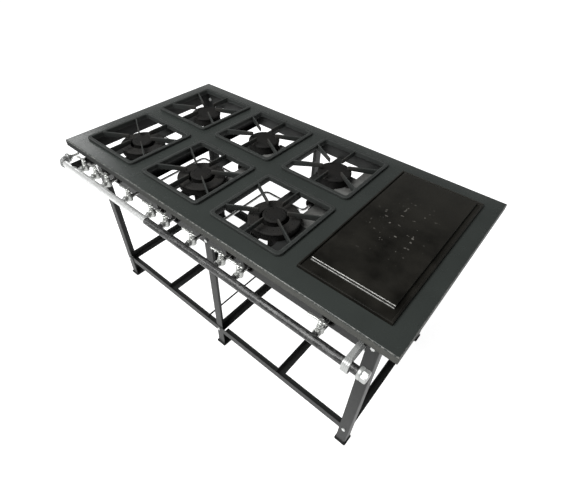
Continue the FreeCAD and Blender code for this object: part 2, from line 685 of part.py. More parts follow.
direct = [x for name, x in valves.items() if name not in fed_by_tube]
group("injectors", [injector(x, OUTLET_Y) for x in direct] + [injector(x, JET_Y) for x in COLUMNS.values()])

# Feed tubes: thin bent tubes from the back burners' valves to their jets behind the front burners
RUN_Y = f"({JET_Y} - feed_straight - feed_bend_radius)"
feed_tubes = []
for column, x in COLUMNS.items():
    start_x = valves[f"{column}_back"]
    first_x, last_x = f"({start_x} + feed_bend_radius)", f"({x} - feed_bend_radius)"
    first_y, last_y = f"({RUN_Y} - feed_bend_radius)", f"({RUN_Y} + feed_bend_radius)"

    def run(label, size):
        return fuse(label,
                    rod("feed_out", "y", start_x, (OUTLET_Y, first_y), GAS, size),
                    bend("feed_turn", first_x, first_y, GAS, "feed_bend_radius", size, 90),
                    rod("feed_across", "x", (first_x, last_x), RUN_Y, GAS, size),
                    bend("feed_return", last_x, last_y, GAS, "feed_bend_radius", size, 270),
                    rod("feed_in", "y", x, (last_y, JET_Y), GAS, size))

    feed_tubes.append(cut("feed_tube", run("feed_wall", "feed_diameter"), run("feed_way", "feed_bore")))
group("feed_tubes", feed_tubes)

# Burners: iron castings with their mixing tubes, and drilled caps laid on them


def mixing_tube(x, mouth_y, end_y, size, mouth_size):
    """Level tube from a flared mouth to the turn below a burner."""
    return [rod("mixing_tube", "y", x, (mouth_y, end_y), GAS, size),
            cone("mouth", "y", x, (mouth_y, f"{mouth_y} + mouth_length"), GAS, mouth_size, size),
            ball("mixing_turn", x, end_y, GAS, size)]


def ports(x, y, circle, count, z):
    """Ring of small upright holes."""
    holes = []
    for step in range(count):
        angle = 360 * step / count
        holes.append(rod("port", "z", f"({x} + {circle} / 2 * cos({angle} deg))",
                         f"({y} + {circle} / 2 * sin({angle} deg))", z, "port_diameter"))
    return holes


RING_TOP = f"({SEAT} + ring_height)"
CENTRE_TOP = f"({SEAT} + centre_height)"
SINGLE_TOP = f"({SEAT} + single_height)"
FLOOR = f"({SEAT} + burner_wall)"
mouth_bore = "(mouth_diameter - venturi_diameter + venturi_bore)"
ring_body = "(ring_diameter - 2 * cap_overhang)"
centre_body = "(centre_diameter - 2 * cap_overhang)"
single_body = "(single_diameter - 2 * cap_overhang)"
centre_caps, single_caps = [], []


def double_burner(column, x):
    """Ring trough and centre cup on one floor in one casting, each with its own mixing tube."""
    y = f"({FRONT_ROW} + double_burner_shift)"
    ring_x, centre_x = f"({x} + venturi_offset)", f"({x} - venturi_offset)"
    neck_y, neck_x = f"({y} - ring_neck_offset)", f"({x} - centre_neck_offset)"
    trough = cut("trough", rod("trough_wall", "z", x, y, (SEAT, RING_TOP), ring_body),
                 rod("ring_gap", "z", x, y, (FLOOR, RING_TOP), "ring_bore"))
    cup = rod("cup", "z", x, y, (SEAT, CENTRE_TOP), centre_body)

    def passages(size, neck_size, mouth_size, top):
        return [*mixing_tube(ring_x, MOUTH_Y, neck_y, size, mouth_size),
                *mixing_tube(centre_x, MOUTH_Y, y, size, mouth_size),
                rod("ring_neck", "z", ring_x, neck_y, (GAS, top), size),
                rod("centre_link", "x", (centre_x, neck_x), y, GAS, neck_size),
                ball("centre_corner", neck_x, y, GAS, neck_size),
                rod("centre_neck", "z", neck_x, y, (GAS, top), neck_size)]

    solid = fuse("double_solid", trough, cup,
                 *passages("venturi_diameter", "centre_neck_diameter", "mouth_diameter", SEAT))
    trough_hollow = cut("trough_hollow",
                        rod("trough_space", "z", x, y, (FLOOR, RING_TOP), f"{ring_body} - 2 * burner_wall"),
                        rod("trough_core", "z", x, y, (FLOOR, RING_TOP), "ring_bore + 2 * burner_wall"))
    cup_hollow = rod("cup_hollow", "z", x, y, (FLOOR, CENTRE_TOP), f"{centre_body} - 2 * burner_wall")
    neck_bore = "(centre_neck_diameter - venturi_diameter + venturi_bore)"
    label = f"double_burner_{column}"
    node(cut(label, solid, trough_hollow, cup_hollow, *passages("venturi_bore", neck_bore, mouth_bore, FLOOR)), label)

    cap_z = (RING_TOP, f"{RING_TOP} + ring_cap_thickness")
    label = f"ring_cap_{column}"
    node(cut(label, rod("ring_cap_plate", "z", x, y, cap_z, "ring_diameter"),
             rod("ring_cap_eye", "z", x, y, cap_z, "ring_bore"),
             *ports(x, y, "((ring_diameter + ring_bore) / 2)", RING_PORTS, cap_z)), label)
    centre_caps.append(round_cap(x, y, CENTRE_TOP, "centre_diameter", centre_body, "centre_cap_thickness", CENTRE_PORTS))


def round_cap(x, y, z, size, body, thickness, count):
    """Drilled cap with a slightly domed edge and a spigot that centres it in its cup."""
    shoulder, top = f"({z} + {thickness} - cap_dome)", f"({z} + {thickness})"
    spigot = f"{body} - 2 * burner_wall - 2 * seat_clearance"
    low = f"({z} - cap_spigot)"
    solid = fuse("cap_solid", rod("cap_plate", "z", x, y, (z, shoulder), size),
                 cone("cap_edge", "z", x, y, (shoulder, top), size, f"{size} - 4 * cap_dome"),
                 rod("cap_foot", "z", x, y, (low, z), spigot))
    return cut("cap", solid, *ports(x, y, f"({size} * 0.7)", count, (low, top)))


def single_burner(column, x):
    """One cup with lugs that span the support bars, and a long mixing tube towards the front."""
    y = BACK_ROW
    cup = rod("single_cup", "z", x, y, (SEAT, SINGLE_TOP), single_body)
    lugs = box("single_lugs", around(x, "2 * left_bar_offset + left_bar_width"),
               around(y, "single_lug_width"), (SEAT, FLOOR))

    def passages(size, mouth_size, top):
        return [*mixing_tube(x, BACK_MOUTH_Y, y, size, mouth_size),
                rod("single_neck", "z", x, y, (GAS, top), size)]

    solid = fuse("single_solid", cup, lugs, *passages("venturi_diameter", "mouth_diameter", SEAT))
    hollow = rod("single_hollow", "z", x, y, (FLOOR, SINGLE_TOP), f"{single_body} - 2 * burner_wall")
    label = f"single_burner_{column}"
    node(cut(label, solid, hollow, *passages("venturi_bore", mouth_bore, FLOOR)), label)
    single_caps.append(round_cap(x, y, SINGLE_TOP, "single_diameter", single_body, "single_cap_thickness", SINGLE_PORTS))


for column, x in COLUMNS.items():
    double_burner(column, x)
    single_burner(column, x)
group("centre_caps", centre_caps)
group("single_caps", single_caps)

# Griddle burner: straight drilled tube below the plate, its far end carried by a hanger
BURNER_END = f"({GRIDDLE[1]} / 2 - griddle_burner_inset)"
tube = fuse("griddle_tube_solid", *mixing_tube(BURNER_X, MOUTH_Y, BURNER_END, "venturi_diameter", "mouth_diameter"))
griddle_ports = [rod("griddle_port", "z", BURNER_X, f"({BURNER_END} - {step} * griddle_port_pitch)",
                     (GAS, f"{GAS} + venturi_diameter / 2"), "port_diameter") for step in range(GRIDDLE_PORTS)]
node(cut("griddle_burner", tube, *mixing_tube(BURNER_X, MOUTH_Y, BURNER_END, "venturi_bore", mouth_bore),
         *griddle_ports), "griddle_burner")
hanger_y = around(f"({BURNER_END} - hanger_inset)", "hanger_width")
TUBE_BOTTOM = f"({GAS} - venturi_diameter / 2)"
hanger_z = (f"{TUBE_BOTTOM} - hanger_thickness", f"{FRAME_BOTTOM} + hanger_lap")
HANGER_LEFT = f"({PITCH} + sheet_thickness)"
node(fuse("griddle_hanger",
          box("hanger_floor", (HANGER_LEFT, SIDE), hanger_y, (hanger_z[0], TUBE_BOTTOM)),
          box("hanger_left", (HANGER_LEFT, f"{HANGER_LEFT} + hanger_thickness"), hanger_y, hanger_z),
          box("hanger_right", (f"{SIDE} - hanger_thickness", SIDE), hanger_y, hanger_z)), "griddle_hanger")

# Grates: cast frames that lie on the table round each cut-out, with a lip inside it and six blades
RIM_TOP = "(table_height + grate_rim_height)"
CLEAR = inset(GRATE, "grate_rim_width")
LIP = inset(OPENING, "seat_clearance")
corner = sheet.get("grate_corner_radius")
lip_z = ("table_height - grate_lip_depth", "table_height")


def blade(x, y, angle):
    """Upright tapered blade that points at the burner, deeper where it meets the frame."""
    part = doc.addObject("Part::Wedge", "blade")
    ends = [f"({clear} + {lip}) / 4" for clear, lip in zip(CLEAR, LIP)]
    reach = f"min({ends[0]} / max(abs(cos({angle} deg)); 0.01); {ends[1]} / max(abs(sin({angle} deg)); 0.01))"
    for prop, text in (("Xmin", "-blade_thickness / 2"), ("Xmax", "blade_thickness / 2"),
                       ("X2min", "-blade_thickness / 2"), ("X2max", "blade_thickness / 2"),
                       ("Ymin", "blade_tip_reach"), ("Ymax", reach),
                       ("Zmin", "-blade_tip_depth"), ("Z2min", "-blade_root_depth"), ("Zmax", "0"), ("Z2max", "0")):
        bind(part, prop, text)
    return place(part, x, y, RIM_TOP, FreeCAD.Rotation(FreeCAD.Vector(0, 0, 1), angle - 90))


def grate(label, x, y):
    rim = rounded_box("grate_rim", *spread(x, y, GRATE), ("table_height", RIM_TOP), corner)
    lip = box("grate_lip", *spread(x, y, LIP), lip_z)
    window = rounded_box("grate_window", *spread(x, y, CLEAR), (lip_z[0], RIM_TOP), sheet.get("grate_window_radius"))
    frame = cut("grate_frame", fuse("grate_blank", rim, lip), window)
    blades = [blade(x, y, angle) for angle in range(30, 390, 60)]
    node(fuse(label, frame, *blades), label)


for column, x in COLUMNS.items():
    for row, y in (("front", FRONT_ROW), ("back", BACK_ROW)):
        grate(f"grate_{row}_{column}", x, y)

# Griddle plate: casting with a rim, a gutter that is widest at the front, and a bevelled raised plate
griddle_x, griddle_y = spread(GRIDDLE_X, "0", GRIDDLE)
RIM = "(table_height + griddle_rim_height)"
tray = cut("griddle_tray",
           rounded_box("griddle_rim", griddle_x, griddle_y, ("table_height", RIM), sheet.get("griddle_rim_width")),
           box("griddle_gutter", *spread(GRIDDLE_X, "0", inset(GRIDDLE, "griddle_rim_width")),
               ("table_height + griddle_floor", RIM)))
raised = box("griddle_raised",
             (f"{griddle_x[0]} + griddle_rim_width + griddle_gutter_left",
              f"{griddle_x[1]} - griddle_rim_width - griddle_gutter_right"),
             (f"{griddle_y[0]} + griddle_rim_width + griddle_gutter_front",
              f"{griddle_y[1]} - griddle_rim_width - griddle_gutter_back"),
             ("table_height", "table_height + griddle_plate_height"))
raised.recompute()
front_top = [number for number, edge in enumerate(raised.Shape.Edges, start=1)
             if all(abs(point.Point.y - raised.Shape.BoundBox.YMin) < 1e-6
                    and abs(point.Point.z - raised.Shape.BoundBox.ZMax) < 1e-6 for point in edge.Vertexes)]
bevelled = doc.addObject("Part::Chamfer", "griddle_bevelled")
bevelled.Base = raised
bevelled.Edges = [(number, sheet.get("griddle_bevel"), sheet.get("griddle_bevel")) for number in front_top]
GRIDDLE_LIP = inset(GRIDDLE_OPENING, "seat_clearance")
griddle_lip = cut("griddle_lip",
                  box("griddle_lip_blank", *spread(GRIDDLE_X, "0", GRIDDLE_LIP), lip_z),
                  box("griddle_lip_window", *spread(GRIDDLE_X, "0", inset(GRIDDLE_LIP, "griddle_lip_width")), lip_z))
node(fuse("griddle_plate", tray, bevelled, griddle_lip), "griddle_plate")

group("frame_fasteners", bolts)

# Build everything, refuse anything that failed, and write one file per piece
doc.recompute()
failed = [part.Name for part in doc.Objects if {"Invalid", "Error"} & set(part.State)]
failed += [part.Label for part in nodes if part.Shape.isNull() or not part.Shape.isValid()]
if failed:
    raise RuntimeError(f"these pieces failed: {failed}")
os.makedirs("parts", exist_ok=True)
for part in nodes:
    part.Shape.exportStep(f"parts/{part.Label}.step")
    print(part.Label, len(part.Shape.Solids), "solids", round(part.Shape.Volume / 1000, 1), "cm3")
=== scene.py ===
import json
import math
import bmesh
import bpy
import numpy as np
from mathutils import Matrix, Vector

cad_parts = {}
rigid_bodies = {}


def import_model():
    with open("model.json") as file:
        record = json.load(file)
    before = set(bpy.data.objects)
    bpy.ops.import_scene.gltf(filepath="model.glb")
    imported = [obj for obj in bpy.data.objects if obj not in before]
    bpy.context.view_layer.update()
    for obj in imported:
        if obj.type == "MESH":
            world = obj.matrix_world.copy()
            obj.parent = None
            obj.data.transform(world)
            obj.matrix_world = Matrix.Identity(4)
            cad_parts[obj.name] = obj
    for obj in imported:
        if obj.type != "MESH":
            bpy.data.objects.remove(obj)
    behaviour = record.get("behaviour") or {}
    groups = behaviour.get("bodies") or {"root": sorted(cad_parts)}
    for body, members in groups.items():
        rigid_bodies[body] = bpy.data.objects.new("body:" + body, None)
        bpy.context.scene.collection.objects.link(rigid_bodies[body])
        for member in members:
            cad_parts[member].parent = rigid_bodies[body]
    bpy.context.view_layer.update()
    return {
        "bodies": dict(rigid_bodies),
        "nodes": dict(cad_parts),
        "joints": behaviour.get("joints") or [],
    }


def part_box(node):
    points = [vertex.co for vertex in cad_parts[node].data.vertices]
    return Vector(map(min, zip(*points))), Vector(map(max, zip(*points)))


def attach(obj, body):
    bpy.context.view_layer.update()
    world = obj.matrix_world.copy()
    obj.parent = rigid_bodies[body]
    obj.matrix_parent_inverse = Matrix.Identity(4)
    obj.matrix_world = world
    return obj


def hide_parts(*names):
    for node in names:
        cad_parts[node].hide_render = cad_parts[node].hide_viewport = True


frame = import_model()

nodes = frame["nodes"]


# Stand: legs, rails and cross members of folded mild steel, welded up and bolted at the legs.
# It is sprayed with a dark grey satin enamel that lies thin on the folds and shows a fine orange peel.


class Wire:
    """A value on its way through a material's nodes; arithmetic on wires adds the Math nodes it needs."""

    def __init__(self, tree, socket=None):
        self.tree = tree
        self.socket = socket

    def node(self, kind, out=0, inputs=None, **settings):
        """Add a node: its settings first, then its sockets' values or links."""
        made = self.tree.nodes.new(kind)
        for name, value in settings.items():
            setattr(made, name, value)
        for name, value in (inputs or {}).items():
            if isinstance(value, Wire):
                self.tree.links.new(value.socket, made.inputs[name])
            else:
                made.inputs[name].default_value = value
        return Wire(self.tree, made.outputs[out])

    def math(self, operation, *terms):
        """Math node over wires or numbers."""
        return self.node("ShaderNodeMath", operation=operation, inputs=dict(enumerate(terms)))

    def __add__(self, other):
        return self.math("ADD", self, other)

    __radd__ = __add__

    def __sub__(self, other):
        return self.math("SUBTRACT", self, other)

    def __mul__(self, other):
        return self.math("MULTIPLY", self, other)

    __rmul__ = __mul__

    def place(self, stretch=(1, 1, 1)):
        """Object coordinates in metres, stretched along the axes."""
        coords = self.node("ShaderNodeTexCoord", out="Object")
        return self.node("ShaderNodeVectorMath", operation="MULTIPLY", inputs={0: coords, 1: stretch})

    def axis(self, name):
        """One of the object coordinates, in metres."""
        return self.node("ShaderNodeSeparateXYZ", out=name, inputs={0: self.place()})

    def ramp(self, value, low, high):
        """Value mapped to 0 at low and 1 at high, and held outside them."""
        return self.node("ShaderNodeMapRange", inputs={"Value": value, "From Min": low, "From Max": high})

    def noise(self, grain, detail=3.0, stretch=(1, 1, 1)):
        """Cloudy noise from 0 to 1, whose blobs are about `grain` metres across."""
        return self.node("ShaderNodeTexNoise", out="Fac", inputs={
            "Vector": self.place(stretch), "Scale": 1.0 / grain, "Detail": detail, "Roughness": 0.55})

    def spots(self, grain, low, high, detail=3.0):
        """Soft-edged patches of noise between two levels, as a mask from 0 to 1."""
        return self.ramp(self.noise(grain, detail), low, high)

    def tint(self, first, second, mask):
        """Mix of two colours, or of a colour wire, by a mask."""
        colours = [colour if isinstance(colour, Wire) else (*colour, 1.0) for colour in (first, second)]
        return self.node("ShaderNodeMix", out=2, data_type="RGBA",
                         inputs={0: mask, 6: colours[0], 7: colours[1]})

    def softened(self, radius):
        """Surface normal with the edges rounded over by a radius."""
        return self.node("ShaderNodeBevel", samples=6, inputs={"Radius": radius})

    def edges(self, radius):
        """Mask of the edges: how far the rounded normal turns away from the flat one."""
        flat = self.node("ShaderNodeNewGeometry", out="True Normal")
        turn = self.node("ShaderNodeVectorMath", out="Value", operation="DOT_PRODUCT",
                         inputs={0: self.softened(radius), 1: flat})
        return self.ramp(turn, 0.999, 0.86)

    def bump(self, height, depth, strength, radius):
        """Relief of a height wire laid over the rounded edges."""
        return self.node("ShaderNodeBump", inputs={
            "Height": height, "Distance": depth, "Strength": strength, "Normal": self.softened(radius)})


def finish(name, look):
    """Make a material: `look` takes a starting wire and returns the shader's sockets by name."""
    material = bpy.data.materials.new(name)
    material.use_nodes = True
    tree = material.node_tree
    shader = tree.nodes["Principled BSDF"]
    for socket, value in look(Wire(tree)).items():
        if isinstance(value, Wire):
            tree.links.new(value.socket, shader.inputs[socket])
        else:
            shader.inputs[socket].default_value = value
    return material


def dress(material, *names):
    """Give CAD nodes a material in place of the one they were packed with."""
    for name in names:
        mesh = nodes[name].data
        mesh.materials.clear()
        mesh.materials.append(material)


def enamel(base, worn, peel, gloss, rough):
    """Look of a sprayed paint: faint clouds, dust and worn edges, over an orange peel of a given depth."""

    def look(start):
        shade = start.tint(tuple(0.82 * part for part in base), tuple(1.3 * part for part in base),
                           start.noise(0.16, 4.0))
        dust = start.spots(0.005, 0.64, 0.8, 2.0) * 0.14
        rub = start.edges(0.0012) * start.spots(0.02, 0.35, 0.62) * 0.5
        return {
            "Base Color": start.tint(shade, worn, rub + dust),
            "Roughness": rough + 0.12 * start.noise(0.03, 3.0),
            "Normal": start.bump(start.noise(0.0028, 2.0), peel, 0.35, 0.0012),
            "Specular IOR Level": gloss,
        }

    return look


def skin(grid, wrap_along=False, wrap_round=True):
    """Quads over a grid of points: rows follow the shape's length, columns go round it."""
    rows, columns = grid.shape[:2]
    index = np.arange(rows * columns).reshape(rows, columns)
    if wrap_along:
        index = np.concatenate([index, index[:1]])
    if wrap_round:
        index = np.concatenate([index, index[:, :1]], axis=1)
    corners = (index[:-1, :-1], index[1:, :-1], index[1:, 1:], index[:-1, 1:])
    return grid.reshape(-1, 3), np.stack([part.ravel() for part in corners], axis=1)


def plate(outer, inner):
    """Wall between two grids of points that face each other: both faces, and a strip round their edge."""
    rows, columns = outer.shape[:2]
    index = np.arange(rows * columns).reshape(rows, columns)
    border = np.concatenate([index[0, :-1], index[:-1, -1], index[-1, :0:-1], index[:0:-1, 0]])
    edge = np.stack([border, np.roll(border, -1)], axis=1)
    points, face = skin(outer, wrap_round=False)
    strip = np.concatenate([edge, edge[:, ::-1] + rows * columns], axis=1)
    return (np.concatenate([points, inner.reshape(-1, 3)]),
            np.concatenate([face, face[:, ::-1] + rows * columns, strip]))


def piece(name, skins, material, body, slot, *stands_for, sharp=40):
    """Join skins into one closed mesh, merge its poles, turn its faces outwards and hand it to the frame."""
    starts = np.cumsum([0] + [len(points) for points, _ in skins[:-1]])
    points = np.concatenate([points for points, _ in skins])
    quads = np.concatenate([faces + start for (_, faces), start in zip(skins, starts)])
    mesh = bpy.data.meshes.new(name)
    mesh.from_pydata(points.tolist(), [], quads.tolist())
    work = bmesh.new()
    work.from_mesh(mesh)
    bmesh.ops.remove_doubles(work, verts=work.verts, dist=1e-6)
    bmesh.ops.dissolve_degenerate(work, edges=work.edges, dist=1e-7)
    bmesh.ops.recalc_face_normals(work, faces=work.faces)
    work.to_mesh(mesh)
    work.free()
    mesh.shade_smooth()
    mesh.set_sharp_from_angle(angle=math.radians(sharp))
    mesh.materials.append(material)
    made = bpy.data.objects.new(name, mesh)
    bpy.context.scene.collection.objects.link(made)
    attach(made, body)
    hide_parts(*stands_for)


def corners(name):
    """Lowest and highest corner of a CAD node, as arrays."""
    low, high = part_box(name)
    return np.array(low), np.array(high)


def angle_bar(corner, wide, deep, run, thickness):
    """Folded angle: an L of two arm vectors with a quarter-round fold between, carried along a third one."""
    wide, deep, run = (np.array(side, float) for side in (wide, deep, run))
    bend = 2 * thickness
    turn = np.linspace(1.5 * np.pi, np.pi, 7)
    faces = []
    for depth in (0.0, thickness):
        u = np.concatenate([[np.linalg.norm(wide)], bend + (bend - depth) * np.cos(turn), [depth]])
        v = np.concatenate([[depth], bend + (bend - depth) * np.sin(turn), [np.linalg.norm(deep)]])
        outline = (u[:, None] * wide / np.linalg.norm(wide) + v[:, None] * deep / np.linalg.norm(deep))
        faces.append(np.array(corner) + outline[None] + np.array([0.0, 1.0])[:, None, None] * run)
    return plate(*faces)


STAND_GREY, WORN_GREY = (0.0152, 0.0159, 0.0155), (0.075, 0.077, 0.075)
stand_paint = finish("stand_paint", enamel(STAND_GREY, WORN_GREY, peel=0.0005, gloss=0.14, rough=0.36))
dress(stand_paint, "front_apron", "foot_plates", "lower_front_rail", "lower_back_rail", "tie_rod",
      "pipe_bracket", "griddle_hanger")
SHEET = 0.002
LEG_SHEET = 0.003
for row in ("front", "back"):
    for column in ("left", "middle", "right"):
        name = f"leg_{row}_{column}"
        low, high = corners(name)
        web_left = column == "left" or name == "leg_front_middle"
        fold = np.where([web_left, row == "front", True], low, high)
        far = np.where([web_left, row == "front", True], high, low) - fold
        leg = angle_bar(fold, (far[0], 0, 0), (0, far[1], 0), (0, 0, far[2]), LEG_SHEET)
        piece(f"angle_{name}", [leg], stand_paint, "stand", "frame_paint", name)

for name, outward in (("left_rail", -1), ("right_rail", 1)):
    low, high = corners(name)
    size = high - low
    fold = (high[0] if outward < 0 else low[0], low[1], high[2])
    rail = angle_bar(fold, (outward * size[0], 0, 0), (0, 0, -size[2]), (0, size[1], 0), SHEET)
    piece(f"angle_{name}", [rail], stand_paint, "stand", "frame_paint", name)
low, high = corners("back_rail")
size = high - low
fold = (low[0], low[1], high[2])
back_rail = angle_bar(fold, (0, size[1], 0), (0, 0, -size[2]), (size[0], 0, 0), SHEET)
piece("angle_back_rail", [back_rail], stand_paint, "stand", "frame_paint", "back_rail")

table_low, table_high = corners("table_top")
table_middle = (table_low + table_high) / 2
low, high = corners("cross_members")
member_run = (0, high[1] - low[1], 0)
member_rise = (0, 0, high[2] - low[2])
COLUMN_PITCH = 0.360
FLANGE = 0.024
fold = (table_middle[0] - COLUMN_PITCH, low[1], low[2])
members = [angle_bar(fold, (FLANGE, 0, 0), member_rise, member_run, SHEET)]
for step in (0, 1):
    fold = (table_middle[0] + step * COLUMN_PITCH + SHEET, low[1], low[2])
    members.append(angle_bar(fold, (-FLANGE - SHEET, 0, 0), member_rise, member_run, SHEET))
piece("angle_cross_members", members, stand_paint, "stand", "frame_paint", "cross_members")

low, high = corners("lower_cross_rails")
RAIL_WIDTH, LEG_INSET = 0.030, 0.060
leg_side = table_high[0] - LEG_INSET - table_middle[0]
rail_starts = [low[0], high[0] - RAIL_WIDTH]
rail_starts += [table_middle[0] + step * leg_side / 2 - RAIL_WIDTH / 2 for step in (-1, 0, 1)]
cross_rails = [angle_bar((start, low[1], low[2]), (RAIL_WIDTH, 0, 0), (0, 0, high[2] - low[2]),
                         (0, high[1] - low[1], 0), SHEET) for start in rail_starts]
piece("angle_lower_cross_rails", cross_rails, stand_paint, "stand", "frame_paint", "lower_cross_rails")


# Frame bolts: zinc-plated steel bolts and nuts with hexagon flats, two in each leg and two in the strap.
# They clamp the legs to the apron and the rails, and the strap's tabs to the apron.


def turned(profile, at, axis="z", sides=40, flats=None):
    """Surface of revolution: (radius, height) pairs swept round an axis; flats cut it back to a hexagon."""
    radius, height = np.array(profile, float).T[:, :, None]
    angle = np.linspace(0, 2 * np.pi, sides, endpoint=False)[None, :]
    if flats:
        radius = np.minimum(radius, flats / 2 / np.cos((angle + np.pi / 6) % (np.pi / 3) - np.pi / 6))
    ring = np.stack(np.broadcast_arrays(radius * np.cos(angle), radius * np.sin(angle), height), axis=2)
    order = {"x": (2, 0, 1), "y": (1, 2, 0), "z": (0, 1, 2)}[axis]
    return skin(ring[:, :, order] + np.array(at))


def plated(base, rough, haze, metal):
    """Look of a plated metal: fine polish lines and a cloudy haze; a dull coat is less metallic."""

    def look(start):
        lines = start.noise(0.0012, 2.0, stretch=(0.15, 1, 1))
        clouds = start.noise(0.012, 4.0)
        colour = start.tint(base, tuple(0.6 * part for part in base), clouds * haze)
        return {"Base Color": colour, "Metallic": metal, "Roughness": rough + 0.22 * clouds * lines,
                "Normal": start.bump(lines, 0.0002, 0.12, 0.0007)}

    return look


def bolt(x, face, z, inward, grip):
    """Bolt and nut along y from the face under its head: turned outlines cut back to six flats."""
    flats = 0.013
    head = [(0, -0.0051), (0.0040, -0.0051), (0.0048, -0.0055), (0.0060, -0.0055), (0.0076, -0.0046),
            (0.0076, -0.0006), (0.0063, -0.0005), (0.0063, 0), (0, 0)]
    shank = [(0, 0), (0.004, 0), (0.004, grip), (0, grip)]
    nut = [(0, 0), (0.0062, 0), (0.0076, 0.0008), (0.0076, 0.0057), (0.0060, 0.0065), (0.0046, 0.0064),
           (0.0041, 0.0058), (0.0036, 0.0063), (0, 0.0063)]
    far_nut = [(radius, grip + height) for radius, height in nut]
    return [turned([(radius, inward * height) for radius, height in outline], (x, face, z), "y", 48, cut)
            for outline, cut in ((head, flats), (shank, None), (far_nut, flats))]


zinc = finish("zinc", plated((0.79, 0.80, 0.79), rough=0.24, haze=1.5, metal=0.6))
UPPER_BOLT = table_high[2] - 0.040
FRONT_BOLT = table_high[2] - 0.116
MIDDLE_BOLT = table_high[2] - 0.136
BACK_BOLT_SHIFT = -0.010
LOWER_BOLT = (corners("lower_front_rail")[0][2] + SHEET + corners("lower_front_rail")[1][2]) / 2
TWO_SHEETS = SHEET + LEG_SHEET
fasteners = []
for column in ("left", "right"):
    for row, inward in (("front", 1), ("back", -1)):
        low, high = corners(f"leg_{row}_{column}")
        face = low[1] if inward > 0 else high[1]
        for z in (FRONT_BOLT if inward > 0 else UPPER_BOLT, LOWER_BOLT):
            fasteners += bolt((low[0] + high[0]) / 2, face, z, inward, TWO_SHEETS)
apron_face = corners("lower_front_rail")[0][1]
back_face = corners("lower_back_rail")[1][1]
for x, face, z, inward in ((0, apron_face, MIDDLE_BOLT, 1), (0, apron_face, LOWER_BOLT, 1),
                           (BACK_BOLT_SHIFT, back_face, UPPER_BOLT, -1), (0, back_face, LOWER_BOLT, -1)):
    fasteners += bolt(table_middle[0] + x, face, z, inward, TWO_SHEETS)
strap_low, strap_high = corners("pipe_strap")
STRAP_SHEET = 0.003
STRAP_ARM = 0.015
TAB_BOLT = 0.012
for z in (strap_low[2] + TAB_BOLT, strap_high[2] - TAB_BOLT):
    fasteners += bolt(strap_low[0] + STRAP_ARM / 2, strap_high[1] - STRAP_SHEET, z, 1, STRAP_SHEET + SHEET)
piece("hexagon_fasteners", fasteners, zinc, "stand", "zinc", "frame_fasteners", sharp=25)


# Table top: one steel sheet, cut out for the grates and the griddle, folded down and welded at the corners.
# The slate grey enamel has a faint green cast and a pebbled skin, a little scuffed by sliding pots.
grate_names = [name for name in frame["bodies"] if name.startswith("grate_")]


def middle(name):
    """Centre of a CAD node, seen from above."""
    return sum(corners(name))[:2] / 2


def folded_table(low, high, cutouts, thickness, bend):
    """Sheet on a net of lines through the cut-outs' edges: cells outside them have a top and a bottom, each
    step from a cell to a cut-out has a wall, and a quarter-round fold with its skirt is carried round."""
    lines = []
    for axis in (0, 1):
        edges = [centre[axis] + side * half[axis] for centre, half in cutouts for side in (-1, 1)]
        lines.append(np.unique(np.round([low[axis] + bend, high[axis] - bend, *edges], 6)))
    x, y = lines
    cell_x, cell_y = np.meshgrid((x[:-1] + x[1:]) / 2, (y[:-1] + y[1:]) / 2, indexing="ij")
    steel = np.all([(abs(cell_x - centre[0]) > half[0]) | (abs(cell_y - centre[1]) > half[1])
                    for centre, half in cutouts], axis=0)
    index = np.arange(len(x) * len(y)).reshape(len(x), len(y))
    under = index.size
    cells = np.stack([index[:-1, :-1], index[1:, :-1], index[1:, 1:], index[:-1, 1:]], axis=2)[steel]
    step_x, step_y = steel[:-1] != steel[1:], steel[:, :-1] != steel[:, 1:]
    sides = np.concatenate([np.stack([index[1:-1, :-1][step_x], index[1:-1, 1:][step_x]], axis=1),
                            np.stack([index[:-1, 1:-1][step_y], index[1:, 1:-1][step_y]], axis=1)])
    walls = np.concatenate([sides, sides[:, ::-1] + under], axis=1)
    across, back = np.meshgrid(x, y, indexing="ij")
    top = np.stack([across, back, np.full_like(across, high[2])], axis=2).reshape(-1, 3)
    flat = (np.concatenate([top, top - (0, 0, thickness)]),
            np.concatenate([cells, cells[:, ::-1] + under, walls]))

    ring = top[np.concatenate([index[:-1, 0], index[-1, :-1], index[:0:-1, -1], index[0, :0:-1]])]
    out = np.stack([(ring[:, axis] == line[-1]) * 1.0 - (ring[:, axis] == line[0])
                    for axis, line in enumerate(lines)], axis=1)
    arc = np.linspace(0, np.pi / 2, 7)
    inner = bend - thickness
    hem = low[2] - high[2]
    burr = 0.0004
    reach = np.concatenate([bend * np.sin(arc), [bend, bend - burr, inner + burr, inner],
                            inner * np.sin(arc[::-1])])
    drop = np.concatenate([bend * np.cos(arc) - bend, [hem + burr, hem, hem, hem + burr],
                           inner * np.cos(arc[::-1]) - bend])
    levels = np.broadcast_to(high[2] + drop[None, :, None], (len(ring), len(drop), 1))
    fold = np.concatenate([ring[:, None, :2] + reach[None, :, None] * out[:, None, :], levels], axis=2)
    return [flat, skin(fold, wrap_along=True, wrap_round=False)]


